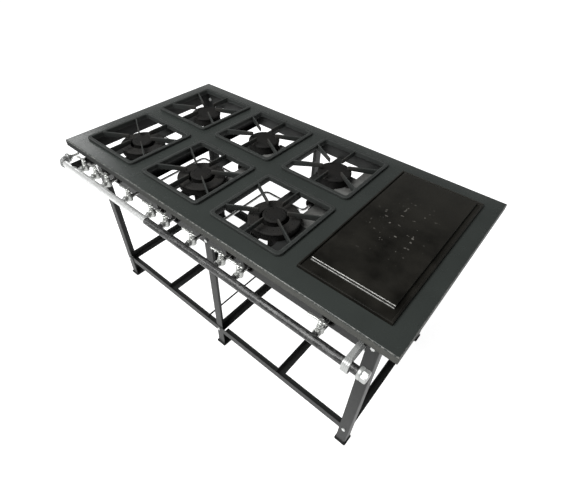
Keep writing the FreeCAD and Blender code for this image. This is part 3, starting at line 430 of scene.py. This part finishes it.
def table_skin(start):
    """Look of the table: the sprayed enamel; on the skirt a dull, streaked paler colour, partly dust and
    partly painted light, darker towards the left end; along the fold pale dots, partly rubbed-through paint
    and partly a painted highlight."""
    paint = enamel((0.0228, 0.0262, 0.0243), (0.070, 0.075, 0.072), peel=0.0004, gloss=0.22, rough=0.20)
    look = paint(start)
    level = start.axis("Z")
    skirt = start.ramp(level, table_high[2] - 0.003, table_high[2] - 0.006)
    streaks = start.noise(0.006, 3.0, stretch=(0.25, 1, 1))
    # Skirt colour: streaked, partly dust and partly painted light on the front faces; the next line darkens
    # it towards the left end.
    skirt_dust_and_light = start.tint((0.036, 0.0375, 0.0345), (0.075, 0.076, 0.069), streaks)
    skirt_dust_and_light = start.tint((0.010, 0.0112, 0.0106), skirt_dust_and_light, start.ramp(start.axis("X"), -0.60, 0.40))
    # Pale dots along the fold: partly rubbed-through paint, partly a painted highlight on the bend.
    fold = start.ramp(start.math("ABSOLUTE", level - (table_high[2] - 0.0016)), 0.0014, 0.0005)
    pale_edge = fold * start.spots(0.007, 0.42, 0.62)
    colour = start.tint(start.tint(look["Base Color"], skirt_dust_and_light, skirt), (0.15, 0.15, 0.14), pale_edge)
    return {**look, "Base Color": colour, "Roughness": look["Roughness"] + 0.6 * skirt}


table_paint = finish("table_paint", table_skin)
FOLD_RADIUS = 0.0045
GRATE_HALF_HOLE, GRIDDLE_HALF_HOLE = (0.142, 0.142), (0.140, 0.308)
cutouts = [(middle(name), GRATE_HALF_HOLE) for name in grate_names]
cutouts.append((middle("griddle_plate"), GRIDDLE_HALF_HOLE))
piece("folded_table", folded_table(table_low, table_high, cutouts, SHEET, FOLD_RADIUS), table_paint, "stand",
      "table_paint", "table_top", sharp=30)


# Gas pipe: a drawn steel tube along the front, in hammered paint with lighter streaks along its length,
# partly a painted highlight.
# Its left stretch is bare zinc-plated tube, screwed into a plated elbow with a hose nipple behind it.
# A plated cap closes the right end, and a bent plated strap ties that end to the apron.


def hammered(start):
    """Look of a hammered paint: shallow dimples, with lighter streaks that run along the pipe, partly the
    paint's own mottle and partly a painted highlight.
    """
    dimples = start.noise(0.007, 2.0)
    streaks = start.noise(0.004, 3.0, stretch=(0.08, 1, 1))
    # Lighter streaks: partly the paint's mottle, partly a painted highlight along the pipe.
    streak_and_sheen = start.ramp(dimples * streaks, 0.18, 0.46)
    colour = start.tint((0.010, 0.0103, 0.0105), (0.095, 0.096, 0.094), streak_and_sheen)
    return {"Base Color": colour, "Roughness": 0.28 + 0.25 * dimples, "Metallic": 0.35,
            "Normal": start.bump(dimples + streaks, 0.0012, 0.5, 0.001)}


def tube(path, radii, sideways, sides=40):
    """Round tube along a path: at each point a circle of its own radius, spanned by a side vector and z."""
    angle = np.linspace(0, 2 * np.pi, sides, endpoint=False)[None, :, None]
    ring = np.cos(angle) * sideways[:, None, :] + np.sin(angle) * np.array((0.0, 0.0, 1.0))
    return skin(path[:, None, :] + radii[:, None, None] * ring)


def elbow(start, bend, collar):
    """Cast elbow: beaded collars at both ends of a quarter bend, from a run along x to a run along y."""
    into = np.array([0.0, 0.0, 0.0006, 0.0020, 0.0070, 0.0092, 0.0108, 0.0118, 0.0120])
    size = np.array([0.0, 0.0165, 0.0182, 0.0190, 0.0190, 0.0182, 0.0160, 0.0138, 0.0135])
    turn = np.linspace(0, np.pi / 2, 14)[1:-1]
    zeros = np.zeros_like(into)
    arm = np.stack([collar - into, zeros, zeros], axis=1)
    arc = np.stack([-bend * np.sin(turn), bend - bend * np.cos(turn), 0 * turn], axis=1)
    leave = np.stack([zeros - bend, bend + collar - into[::-1], zeros], axis=1)
    sideways = np.concatenate([np.tile((0.0, -1.0, 0.0), (len(into), 1)),
                               np.stack([-np.sin(turn), -np.cos(turn), 0 * turn], axis=1),
                               np.tile((-1.0, 0.0, 0.0), (len(into), 1))])
    radii = np.concatenate([size, np.full_like(turn, size[-1]), size[::-1]])
    return tube(np.array(start) + np.concatenate([arm, arc, leave]), radii, sideways)


def strap(low, high, ring, at, sag, arm, thickness, bend):
    """Ribbed strip bent into a loop: tab, arm, two quarter circles a sag apart, arm and tab as one line in
    the upright plane, carried across the strip, which is wider on the loop, and thickened with ribs."""
    half = np.linspace(np.pi / 2, 1.5 * np.pi, 28)
    fold = np.linspace(0, np.pi / 2, 6)
    wall = high[1] - thickness / 2
    turn = np.stack([wall - bend + bend * np.cos(fold), at[1] + ring + bend - bend * np.sin(fold),
                     np.cos(fold), -np.sin(fold)], axis=1)
    loop = np.stack([at[0] + ring * np.cos(half), at[1] + ring * np.sin(half) - sag * (half > np.pi),
                     -np.cos(half), -np.sin(half)], axis=1)
    upper = np.concatenate([[(wall, high[2], 1.0, 0.0)], turn, [(at[0] + ring, at[1] + ring, 0.0, -1.0)]])
    lower = upper[::-1] * (1, -1, 1, -1) + (0, 2 * at[1] - sag, 0, 0)
    line = np.concatenate([upper, loop, lower])[:, :, None]
    across = np.linspace(0, 1, 33)
    rib_depth = 0.35
    ribs = 1 - rib_depth * np.cos(4 * np.pi * across) ** 2
    reach = np.repeat([arm, high[0] - low[0], arm], [len(upper), len(loop), len(lower)])
    x = low[0] + reach[:, None] * across
    faces = []
    for side in (-0.5, 0.5):
        y = line[:, 0] + side * thickness * ribs * line[:, 2]
        z = line[:, 1] + side * thickness * ribs * line[:, 3]
        faces.append(np.stack([x, y, z], axis=2))
    return plate(*faces)


pipe_paint = finish("pipe_paint", hammered)
chrome = finish("chrome", plated((0.50, 0.51, 0.49), rough=0.26, haze=0.9, metal=0.75))
dress(pipe_paint, "manifold_pipe")
dress(zinc, "inlet_pipe")
pipe_low, pipe_high = corners("end_cap")
pipe_y, pipe_z = (pipe_low[1:] + pipe_high[1:]) / 2
COLLAR, BEND = 0.012, 0.024
elbow_start = (corners("inlet_elbow")[1][0] - COLLAR, pipe_y, pipe_z)
dull = finish("dull_plating", plated((0.26, 0.265, 0.26), rough=0.30, haze=0.8, metal=0.6))
piece("cast_elbow", [elbow(elbow_start, BEND, COLLAR)], dull, "stand", "chrome", "inlet_elbow")

nipple_low, nipple_high = corners("hose_nipple")
nipple_at = ((nipple_low[0] + nipple_high[0]) / 2, nipple_low[1], pipe_z)
barb = [(0.0050, 0.0), (0.0060, 0.0008), (0.0051, 0.0075)]
BARB_START, BARB_PITCH = 0.012, 0.0078
tail = [(0, 0.010), (0.0050, 0.010)]
for step in range(4):
    tail += [(radius, BARB_START + BARB_PITCH * step + height) for radius, height in barb]
tail += [(0.0049, 0.0436), (0.0035, 0.0440), (0.0035, 0.0300), (0, 0.0300)]
union = [(0, 0), (0.0105, 0), (0.0138, 0.0014), (0.0138, 0.0086), (0.0105, 0.010), (0, 0.010)]
NIPPLE_FLATS, CAP_FLATS = 0.024, 0.032
piece("barbed_nipple", [turned(union, nipple_at, "y", 48, NIPPLE_FLATS), turned(tail, nipple_at, "y")],
      chrome, "stand", "chrome", "hose_nipple", sharp=30)

cap = [(0, 0), (0.0165, 0), (0.0182, 0.0006), (0.0190, 0.0020), (0.0190, 0.0085), (0.0183, 0.0104),
       (0.0165, 0.0118), (0.0120, 0.0120), (0, 0.0120)]
CAP_LENGTH = pipe_high[0] - pipe_low[0]
plug = [(0, 0.0115), (0.0172, 0.0115), (0.0184, 0.0126), (0.0184, CAP_LENGTH - 0.0030),
        (0.0165, CAP_LENGTH - 0.0010), (0.0120, CAP_LENGTH - 0.0002), (0, CAP_LENGTH)]
cap_at = (pipe_low[0], pipe_y, pipe_z)
satin = finish("satin_plating", plated((0.42, 0.43, 0.42), rough=0.36, haze=0.6, metal=0.5))
piece("pipe_cap", [turned(cap, cap_at, "x", 48), turned(plug, cap_at, "x", 48, CAP_FLATS)],
      satin, "stand", "chrome", "end_cap", sharp=30)
PIPE_RADIUS, STRAP_GAP = 0.01345, 0.00015
STRAP_SAG, STRAP_BEND = 0.014, 0.004
loop_radius = PIPE_RADIUS + STRAP_GAP + STRAP_SHEET / 2
loop = strap(strap_low, strap_high, loop_radius, (pipe_y, pipe_z), STRAP_SAG, STRAP_ARM, STRAP_SHEET,
             STRAP_BEND)
piece("bent_strap", [loop], satin, "stand", "chrome", "pipe_strap", sharp=30)


# Valves: plated brass plug valves screwed on the pipe's bosses, with a cast lever on each stem.
# A lever lies along the pipe when its valve is shut, and points to the front when it is open.


def bar(stations, power, at, round_points=20):
    """Bar along x: at each (x, width, thickness, height) a superellipse |y|^n + |z|^n = 1 of that size."""
    along, width, thickness, height = np.array(stations, float).T[:, :, None]
    angle = np.linspace(0, 2 * np.pi, round_points, endpoint=False)[None, :]
    across = np.sign(np.cos(angle)) * np.abs(np.cos(angle)) ** (2 / power)
    up = np.sign(np.sin(angle)) * np.abs(np.sin(angle)) ** (2 / power)
    grid = np.stack(np.broadcast_arrays(along, across * width / 2, up * thickness / 2 + height), axis=2)
    return skin(grid + np.array(at))


union = [(0, 0), (0.0100, 0), (0.0127, 0.0010), (0.0127, 0.0080), (0.0100, 0.0090), (0.0084, 0.0094),
         (0.0084, 0.0106), (0.0096, 0.0116), (0.0100, 0.0130), (0.0100, 0.0200), (0, 0.0216)]
outlet = [(0, 0.018), (0.0088, 0.0200), (0.0088, 0.0330), (0.0075, 0.0345), (0.0075, 0.0360),
          (0.0069, 0.0364), (0.0069, 0.0374), (0.0075, 0.0378), (0.0075, 0.0390), (0.0069, 0.0394),
          (0.0069, 0.0404), (0.0075, 0.0408), (0.0075, 0.0424), (0.0066, 0.0434), (0, 0.0434)]
barrel = [(0, -0.0150), (0.0062, -0.0150), (0.0070, -0.0146), (0.0070, -0.0136), (0.0104, -0.0134),
          (0.0117, -0.0124), (0.0120, -0.0108), (0.0120, 0.0108), (0.0116, 0.0126), (0.0102, 0.0142),
          (0.0094, 0.0150), (0, 0.0150)]
bonnet = [(0, 0.0148), (0.0094, 0.0148), (0.0095, 0.0156), (0.0095, 0.0236), (0.0084, 0.0248),
          (0.0070, 0.0250), (0.0064, 0.0270), (0.0048, 0.0270), (0.0047, 0.0262), (0, 0.0262)]
hub = [(0, -0.036), (0.0045, -0.036), (0.0045, -0.0125), (0.0078, -0.012), (0.0085, -0.0112),
       (0.0085, -0.0095), (0.0074, -0.0088), (0.0074, -0.0028), (0.0085, -0.0022), (0.0085, -0.0012),
       (0.0076, -0.0004), (0.0046, -0.0002), (0.0044, -0.0011), (0, -0.0011)]
lever = [(-0.0464, 0.0, 0.0, -0.0055), (-0.0462, 0.005, 0.0028, -0.0055),
         (-0.0454, 0.0086, 0.0042, -0.0056), (-0.0436, 0.0114, 0.0052, -0.0057),
         (-0.0405, 0.0130, 0.0057, -0.0058), (-0.0370, 0.0124, 0.0057, -0.0059),
         (-0.0310, 0.0094, 0.0054, -0.006), (-0.022, 0.0076, 0.0056, -0.006),
         (-0.013, 0.0078, 0.0058, -0.006), (-0.005, 0.009, 0.006, -0.006), (0.006, 0.0088, 0.006, -0.006),
         (0.012, 0.0078, 0.0056, -0.006), (0.0155, 0.0062, 0.0046, -0.006), (0.017, 0.0036, 0.003, -0.006),
         (0.0174, 0.0, 0.0, -0.006)]
BOSS_REACH = 0.01945
UNION_FLATS, BONNET_FLATS = 0.022, 0.0172
LEVER_POWER = 3.0
bodies = []
for joint in frame["joints"]:
    if joint["type"] == "hinge":
        handle = joint["child"]
        x, y = joint["pos_m"][:2]
        stem = (x, y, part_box(handle)[1].z)
        piece(f"lever_{handle}", [turned(hub, stem), bar(lever, LEVER_POWER, stem)], chrome, handle,
              "chrome", handle)
        seat = (x, pipe_y + BOSS_REACH, pipe_z)
        bodies += [turned(union, seat, "y", 48, UNION_FLATS), turned(outlet, seat, "y"),
                   turned(barrel, (x, y, pipe_z)), turned(bonnet, (x, y, pipe_z), "z", 48, BONNET_FLATS)]
piece("plug_valves", bodies, chrome, "stand", "chrome", "valve_bodies", sharp=30)


# Injectors and feed tubes: jets turned from bar and screwed into the valves, and thin drawn tubes that
# carry the gas under the table to the back burners. Both are bare metal, a little tarnished.


def drawn(base, rough):
    """Look of a drawn or turned metal: a fine grain and a few darker, tarnished clouds."""

    def look(start):
        tarnish = start.spots(0.015, 0.4, 0.75)
        colour = start.tint(base, tuple(0.5 * part for part in base), tarnish * 0.6)
        return {"Base Color": colour, "Metallic": 1.0, "Roughness": rough + 0.2 * tarnish,
                "Normal": start.bump(start.noise(0.001, 2.0), 0.0002, 0.2, 0.0005)}

    return look


tube_metal = finish("tube_metal", drawn((0.62, 0.62, 0.61), rough=0.28))
dress(tube_metal, "injectors", "feed_tubes")


# Support bars: flat steel bars with plates welded along them, set between the apron and the back rail.
# They wear the stand's dark paint; the right-hand plates are a dull bare grey behind a line near their
# front, and keep the dark paint in front of it as a painted shade.


def burnt_sheet(start):
    """Look of painted sheet, bare grey on the plates to the right of each column behind a line, dark paint
    in front of it as a painted shade, with darker greasy clouds; the share of a pitch to the right of a
    column's middle tells the plates from the bars."""
    column_x = middle("ring_cap_right")[0]
    share = start.math("FRACT", (start.axis("X") - column_x) * (1 / COLUMN_PITCH) + 20.0)
    plates = start.ramp(share, 0.09, 0.12) * start.ramp(share, 0.46, 0.44)
    # In front of the shade line the plates keep the dark paint: a painted shade.
    paint_off = plates * start.ramp(start.axis("Y"), PLATE_SHADE_LINE - 0.001, PLATE_SHADE_LINE + 0.001)
    grease = start.spots(0.06, 0.42, 0.75)
    bare = start.tint((0.105, 0.106, 0.102), (0.040, 0.0395, 0.037), grease)
    return {"Base Color": start.tint(STAND_GREY, bare, paint_off), "Roughness": 0.45 + 0.2 * grease,
            "Specular IOR Level": 0.2,
            "Normal": start.bump(start.noise(0.002, 2.0, stretch=(1, 0.1, 1)), 0.0003, 0.3, 0.0008)}


# Line across the plates, in front of which they are painted dark as a painted shade.
PLATE_SHADE_LINE = table_middle[1] - 0.120
dress(finish("burnt_sheet", burnt_sheet), "burner_support_bars")


# Burners: raw iron castings that stand on the support bars, with loose drilled caps on them.
# Soot and rust give their rough skin a brown cast; the caps' edges are rubbed paler.


def raw_iron(base):
    """Look of a sand casting: grainy skin, brown rust in its hollows and paler rubbed edges."""

    def look(start):
        grain = start.noise(0.0022, 4.0)
        rust = start.spots(0.03, 0.4, 0.75)
        black, brown, pale_edge = (tuple(base * part for part in shade) for shade in (
            (1.0, 0.98, 0.93), (1.35, 1.25, 1.1), (3.6, 3.4, 3.3)))
        colour = start.tint(start.tint(black, brown, rust * 0.7), pale_edge, start.edges(0.0015) * 0.4)
        return {"Base Color": colour, "Roughness": 0.55 + 0.3 * grain, "Specular IOR Level": 0.12,
                "Normal": start.bump(grain, 0.0008, 0.55, 0.0015)}

    return look


def drilled_cap(at, inner, outer, thickness, edge, circle, count, spigot):
    """Round cap: its top falls away in a parabola at the edges, and sinks where a point lies within the
    radius of one of the holes, spaced evenly on a circle; below it a flat underside and a spigot."""
    hole, hole_edge, hole_depth, margin = 0.0017, 0.0004, 0.0045, 0.0006
    near = np.linspace(-2 * hole, 2 * hole, 15) + circle
    radius = np.concatenate([np.linspace(inner, near[0] - margin, 8), near,
                             np.linspace(near[-1] + margin, outer, 12)])
    angle = np.linspace(0, 2 * np.pi, 16 * count, endpoint=False)
    fall = np.clip((radius - outer + edge) / edge, 0, 1) ** 2
    if inner:
        fall = fall + np.clip((inner + edge - radius) / edge, 0, 1) ** 2
    level = np.broadcast_to((thickness - 0.5 * edge * fall)[:, None], (len(radius), len(angle)))
    arc = ((angle * count / (2 * np.pi)) % 1.0 - 0.5) * 2 * np.pi / count * circle
    off = np.hypot(radius[:, None] - circle, arc[None, :])
    level = level - hole_depth * np.clip((hole - off) / hole_edge, 0, 1)
    below = [(outer, 0.0), (inner, 0.0)]
    if spigot:
        below = [(outer, 0.0), (spigot, 0.0), (spigot, -SPIGOT), (inner, -SPIGOT)]
    radius = np.concatenate([radius, [place for place, _ in below]])
    level = np.concatenate([level, np.repeat([[height] for _, height in below], len(angle), axis=1)])
    grid = np.stack([radius[:, None] * np.cos(angle), radius[:, None] * np.sin(angle), level], axis=2)
    return skin(grid + np.array(at), wrap_along=bool(inner))


burner_iron = finish("burner_iron", raw_iron(0.0074))
# The ring caps' iron is painted lighter than the other caps' (0.0125 against 0.0074): painted light that
# lifts the shade falling on the rings.
ring_iron = finish("ring_iron", raw_iron(0.0125))
dress(burner_iron, "griddle_burner")
SPIGOT = 0.004
centre_z, single_z = (corners(name)[0][2] + SPIGOT for name in ("centre_caps", "single_caps"))
single_y = middle("single_caps")[1]
centre_caps, single_caps = [], []
for column in ("left", "middle", "right"):
    dress(burner_iron, f"double_burner_{column}", f"single_burner_{column}")
    name = f"ring_cap_{column}"
    x, y = middle(name)
    ring = drilled_cap((x, y, corners(name)[0][2]), inner=0.050, outer=0.090, thickness=0.006, edge=0.005,
                       circle=0.070, count=24, spigot=None)
    piece(f"drilled_ring_{column}", [ring], ring_iron, "stand", "burner_iron", name, sharp=50)
    centre_caps.append(drilled_cap((x, y, centre_z), inner=0.0, outer=0.041, thickness=0.007, edge=0.007,
                                   circle=0.0287, count=12, spigot=0.032))
    single_caps.append(drilled_cap((x, single_y, single_z), inner=0.0, outer=0.065, thickness=0.009,
                                   edge=0.008, circle=0.0455, count=18, spigot=0.056))
piece("drilled_centre_caps", centre_caps, burner_iron, "stand", "burner_iron", "centre_caps", sharp=50)
piece("drilled_single_caps", single_caps, burner_iron, "stand", "burner_iron", "single_caps", sharp=50)


# Grates: square iron castings with six blades that point at the burner, painted grey like the table.
# The fire has burnt the paint off the blades' tips, which are brown and dull.
table_level = table_high[2]
RIM_TOP = 0.010


def rim(at, sides, profile, outer_corner, inner_corner, corner_points=10):
    """Profile of (inset, height) pairs carried round a rectangle; the inset sets the corner radius."""
    inset, height = np.array(profile, float).T[:, None, :]
    radius = outer_corner + (inner_corner - outer_corner) * inset / inset.max()
    quarter = np.linspace(0, np.pi / 2, corner_points)
    angle = np.concatenate([quarter + turn * np.pi / 2 for turn in range(4)])[:, None]
    sign = np.repeat(np.array([[1, 1], [-1, 1], [-1, -1], [1, -1]]), corner_points, axis=0)
    x = sign[:, :1] * (sides[0] / 2 - inset - radius) + radius * np.cos(angle)
    y = sign[:, 1:] * (sides[1] / 2 - inset - radius) + radius * np.sin(angle)
    return skin(np.stack(np.broadcast_arrays(x, y, height), axis=2) + np.array(at), wrap_along=True)


def blade(at, turn, reach, steps=18, round_points=20):
    """Upright blade along a ray: a superellipse section, deep at the frame, shallower to its round tip."""
    tip, tip_round = 0.046, 0.006
    root_depth, fall, half_width = 0.024, 0.007, 0.003
    along = (1 - np.linspace(1, 0, steps) ** 1.6)[:, None]
    radius = reach + (tip - reach) * along
    ease = np.sqrt(np.clip(1 - np.clip((tip + tip_round - radius) / tip_round, 0, 1) ** 2, 0, 1))
    depth = root_depth - fall * along
    angle = np.linspace(0, 2 * np.pi, round_points, endpoint=False)[None, :]
    across = np.sign(np.cos(angle)) * np.abs(np.cos(angle)) ** 0.55
    up = np.sign(np.sin(angle)) * np.abs(np.sin(angle)) ** 0.35
    side = across * half_width * ease
    height = RIM_TOP - depth / 2 + up * depth / 2 * (0.7 + 0.3 * ease)
    x = radius * math.cos(turn) - side * math.sin(turn)
    y = radius * math.sin(turn) + side * math.cos(turn)
    return skin(np.stack(np.broadcast_arrays(x, y, height), axis=2) + np.array(at))


def grate_skin(start):
    """Look of a painted casting: pebbled grey paint, paler along its edges (partly worn paint, partly a
    painted highlight), burnt brown near the burner.
    """
    off_x, off_y = (start.math("FRACT", (start.axis(axis) - centre) * (1 / COLUMN_PITCH) + 20.5) - 0.5
                    for axis, centre in zip("XY", grate_centres[0]))
    distance = start.math("SQRT", off_x * off_x + off_y * off_y) * COLUMN_PITCH
    paint_off = start.ramp(distance + 0.04 * start.noise(0.02), 0.125, 0.075)
    clouds = start.noise(0.05, 4.0)
    colour = start.tint((0.0185, 0.0205, 0.0195), (0.0270, 0.0292, 0.0280), clouds)
    # Paler edges: partly paint worn through, partly a painted highlight on the lit top edges of rim and
    # blades.
    pale_edge = start.edges(0.0012) * start.spots(0.012, 0.30, 0.60) * 0.7
    colour = start.tint(colour, (0.105, 0.109, 0.104), pale_edge)
    colour = start.tint(colour, (0.0330, 0.0312, 0.0285), paint_off * 0.75)
    return {"Base Color": colour, "Roughness": 0.45 + 0.2 * clouds + 0.15 * paint_off,
            "Specular IOR Level": 0.08,
            "Normal": start.bump(start.noise(0.0026, 3.0), 0.0006, 0.4, 0.0008)}


rim_profile = [(0.0003, 0.0), (0.0001, 0.0015), (0.0002, 0.0086), (0.0005, 0.0095), (0.0013, 0.0100),
               (0.007, 0.01), (0.0127, 0.0100), (0.0135, 0.0095), (0.0138, 0.0086), (0.0139, 0.0),
               (0.0139, -0.0088), (0.0134, -0.0097), (0.0107, -0.0097), (0.0101, -0.0088), (0.0101, 0.0)]
BLADE_REACH = 0.138
OUTER_CORNER, INNER_CORNER = 0.018, 0.010
grate_centres = [(*middle(name), table_level) for name in grate_names]
grate_paint = finish("grate_paint", grate_skin)
for name, centre in zip(grate_names, grate_centres):
    low, high = corners(name)
    parts = [rim(centre, high - low, rim_profile, OUTER_CORNER, INNER_CORNER)]
    for step in range(6):
        turn = math.radians(30 + 60 * step)
        parts.append(blade(centre, turn, BLADE_REACH / max(abs(math.cos(turn)), abs(math.sin(turn)))))
    piece(f"casting_{name}", parts, grate_paint, name, "grate_iron", name, sharp=50)


# Griddle: a thick iron plate, raised above a gutter inside a low rim, black with baked oil.
# The scraper has polished the two edges of its front bevel bright and left scratches and pale specks.
GUTTER, PLATE_HEIGHT, PLATE_BEVEL = 0.005, 0.015, 0.006
griddle_low, griddle_high = corners("griddle_plate")
LEFT_BORDER, RIGHT_BORDER, FRONT_BORDER, BACK_BORDER = 0.016, 0.020, 0.044, 0.018
plate_left, plate_right = griddle_low[0] + LEFT_BORDER, griddle_high[0] - RIGHT_BORDER
plate_front, plate_back = griddle_low[1] + FRONT_BORDER, griddle_high[1] - BACK_BORDER
griddle_middle = (*middle("griddle_plate"), table_level)


def griddle_top(low, high):
    """Height over a net of lines that crowd at the edges: the higher of a rim, which rises and falls with
    the distance from the outline, and of the raised plate, with a bevelled front and softened sides."""
    outline = np.array([0.0, 0.0004, 0.0012, 0.0024, 0.0040, 0.0058, 0.0068, 0.0078, 0.0084])
    shape = np.array([0.0, 0.0092, 0.0104, 0.0109, 0.0110, 0.0108, 0.0100, 0.0056, GUTTER])
    crowd = np.array([-0.0016, -0.0008, -0.0003, 0.0, 0.0003, 0.0008, 0.0016, 0.0030, 0.0045, PLATE_BEVEL,
                      0.0068, 0.0080])
    lines = []
    for axis, near, far, count in ((0, plate_left, plate_right, 14), (1, plate_front, plate_back, 28)):
        between = np.linspace(near + 0.012, far - 0.012, count)
        line = np.unique(np.concatenate([low[axis] + outline, high[axis] - outline, near + crowd,
                                         far - crowd, between]))
        lines.append(line[(line >= low[axis]) & (line <= high[axis])])
    across, back = np.meshgrid(*lines, indexing="ij")
    inside = np.min([across - low[0], high[0] - across, back - low[1], high[1] - back], axis=0)
    level = np.interp(inside, outline, shape)
    side = np.min([across - plate_left, plate_right - across, plate_back - back], axis=0)
    soft = np.interp(side, [0.0, 0.0003, 0.0008, 0.0016],
                     [0.0, PLATE_HEIGHT - 0.0010, PLATE_HEIGHT - 0.0003, PLATE_HEIGHT])
    bevel = np.interp(back - plate_front, [0.0, 0.0003, PLATE_BEVEL, 0.0068],
                      [0.0, PLATE_HEIGHT - PLATE_BEVEL, PLATE_HEIGHT - 0.0003, PLATE_HEIGHT])
    level = np.maximum(level, np.minimum(soft, bevel))
    top = np.stack([across, back, table_level + level], axis=2)
    return plate(top, np.stack([across, back, np.full_like(across, table_level)], axis=2))


def seasoned(start):
    """Look of baked oil on iron: brown-black blotches, paler to the back as a painted sheen, scratches,
    scraped specks in the middle, and bright rubbed edges on the bevel."""
    across, back = start.axis("X"), start.axis("Y")
    blotch = start.spots(0.09, 0.32, 0.68, 5.0)
    scratch = start.ramp(start.noise(0.004, 2.0, stretch=(1.0, 0.05, 1)), 0.66, 0.78)
    off_x, off_y = across - griddle_middle[0], back - griddle_middle[1]
    used = start.ramp(start.math("SQRT", off_x * off_x + 0.4 * off_y * off_y), 0.125, 0.045)
    speck = start.spots(0.013, 0.70, 0.74, 1.0) * used
    lower = start.ramp(start.math("ABSOLUTE", back - (plate_front + 0.0005)), 0.0011, 0.0006)
    upper = start.ramp(start.math("ABSOLUTE", back - (plate_front + PLATE_BEVEL)), 0.0012, 0.0006)
    on_plate = start.ramp(across, plate_left, plate_left + 0.002)
    on_plate = on_plate * start.ramp(across, plate_right + 0.001, plate_right - 0.001)
    raised = start.ramp(start.axis("Z"), table_level + 0.0065, table_level + 0.0080)
    bright = (lower + upper) * on_plate * raised
    bright = bright * (0.35 + 0.65 * start.spots(0.012, 0.3, 0.6))
    colour = start.tint((0.0034, 0.0032, 0.0025), (0.0104, 0.0097, 0.0077), blotch)
    # Paler towards the back: a painted sheen.
    colour = start.tint(colour, (0.0185, 0.0178, 0.0150), start.ramp(back, -0.02, 0.34) * 0.55)
    colour = start.tint(colour, (0.016, 0.015, 0.0125), scratch * 0.35)
    colour = start.tint(colour, (0.14, 0.135, 0.12), speck * 0.6)
    colour = start.tint(colour, (0.030, 0.029, 0.026), start.edges(0.0012) * 0.6)
    colour = start.tint(colour, (0.34, 0.34, 0.325), bright)
    return {"Base Color": colour, "Metallic": bright * 0.4, "Roughness": 0.40 + 0.28 * blotch,
            "Specular IOR Level": 0.09,
            "Normal": start.bump(start.noise(0.005, 4.0), 0.0005, 0.3, 0.0012)}


griddle_iron = finish("griddle_iron", seasoned)
lip_profile = [(0.0, 0.0003), (0.0, -0.0092), (0.0008, -0.0099), (0.0032, -0.0099), (0.004, -0.0092),
               (0.004, 0.0003)]
LIP_SIDES, LIP_CORNERS = (0.276, 0.612), (0.004, 0.002)
lip = rim(griddle_middle, LIP_SIDES, lip_profile, *LIP_CORNERS)
piece("griddle_casting", [griddle_top(griddle_low, griddle_high), lip], griddle_iron, "griddle_plate",
      "griddle_iron", "griddle_plate", sharp=30)


# Studio: a pale floor under a sky that is bright at the horizon, a soft light beyond the left end that
# glares on the table, a key light high in front, and the camera.
FLOOR_HALF = 14.0
floor = bpy.data.meshes.new("floor")
floor.from_pydata([(x * FLOOR_HALF, y * FLOOR_HALF, 0) for x, y in ((-1, -1), (1, -1), (1, 1), (-1, 1))], [],
                  [(0, 1, 2, 3)])


def pale_card(start):
    """Look of a pale card that is lit from below, so that it stays white under the stove and far away."""
    return {"Base Color": start.tint((0.48, 0.48, 0.48), (0.52, 0.52, 0.52), start.noise(0.5)),
            "Roughness": 0.9, "Emission Color": (1.0, 1.0, 1.0, 1.0), "Emission Strength": 0.9}


floor.materials.append(finish("pale_card", pale_card))
floor_card = bpy.data.objects.new("floor", floor)
bpy.context.scene.collection.objects.link(floor_card)

world = bpy.data.worlds.new("studio")
world.use_nodes = True
sky = Wire(world.node_tree)
ray = sky.node("ShaderNodeTexCoord", out="Generated")
height = sky.node("ShaderNodeSeparateXYZ", out="Z", inputs={0: ray})
glow = sky.node("ShaderNodeMapRange", inputs={"Value": height, "From Min": 0.08, "From Max": 0.44,
                                              "To Min": 1.2, "To Max": 0.10})
background = world.node_tree.nodes["Background"]
background.inputs["Color"].default_value = (1.0, 1.0, 1.0, 1.0)
world.node_tree.links.new(glow.socket, background.inputs["Strength"])
bpy.context.scene.world = world
bpy.context.scene.view_settings.view_transform = "Standard"

for name, spot, aim, size, power in (
        ("glare", (-3.75, 0.48, 2.35), (-0.69, -0.33, 0.8), 1.0, 14),
        ("key", (-0.9, -2.2, 4.5), (0.0, 0.0, 0.6), 3.0, 370)):
    lamp = bpy.data.lights.new(name, "AREA")
    lamp.size = size
    lamp.energy = power
    light = bpy.data.objects.new(name, lamp)
    light.location = spot
    light.rotation_mode = "QUATERNION"
    light.rotation_quaternion = (Vector(spot) - Vector(aim)).to_track_quat("Z", "Y")
    bpy.context.scene.collection.objects.link(light)

lens = bpy.data.cameras.new("camera")
lens.sensor_width = 36.0
lens.lens = 24.92
lens.shift_x = 0.0070
lens.shift_y = -0.0008
lens.clip_end = 60.0
camera = bpy.data.objects.new("camera", lens)
camera.location = (0.8474, -0.9120, 1.6108)
camera.rotation_euler = [math.radians(angle) for angle in (45.2846, -1.2684, 40.3245)]
bpy.context.scene.collection.objects.link(camera)
bpy.context.scene.camera = camera
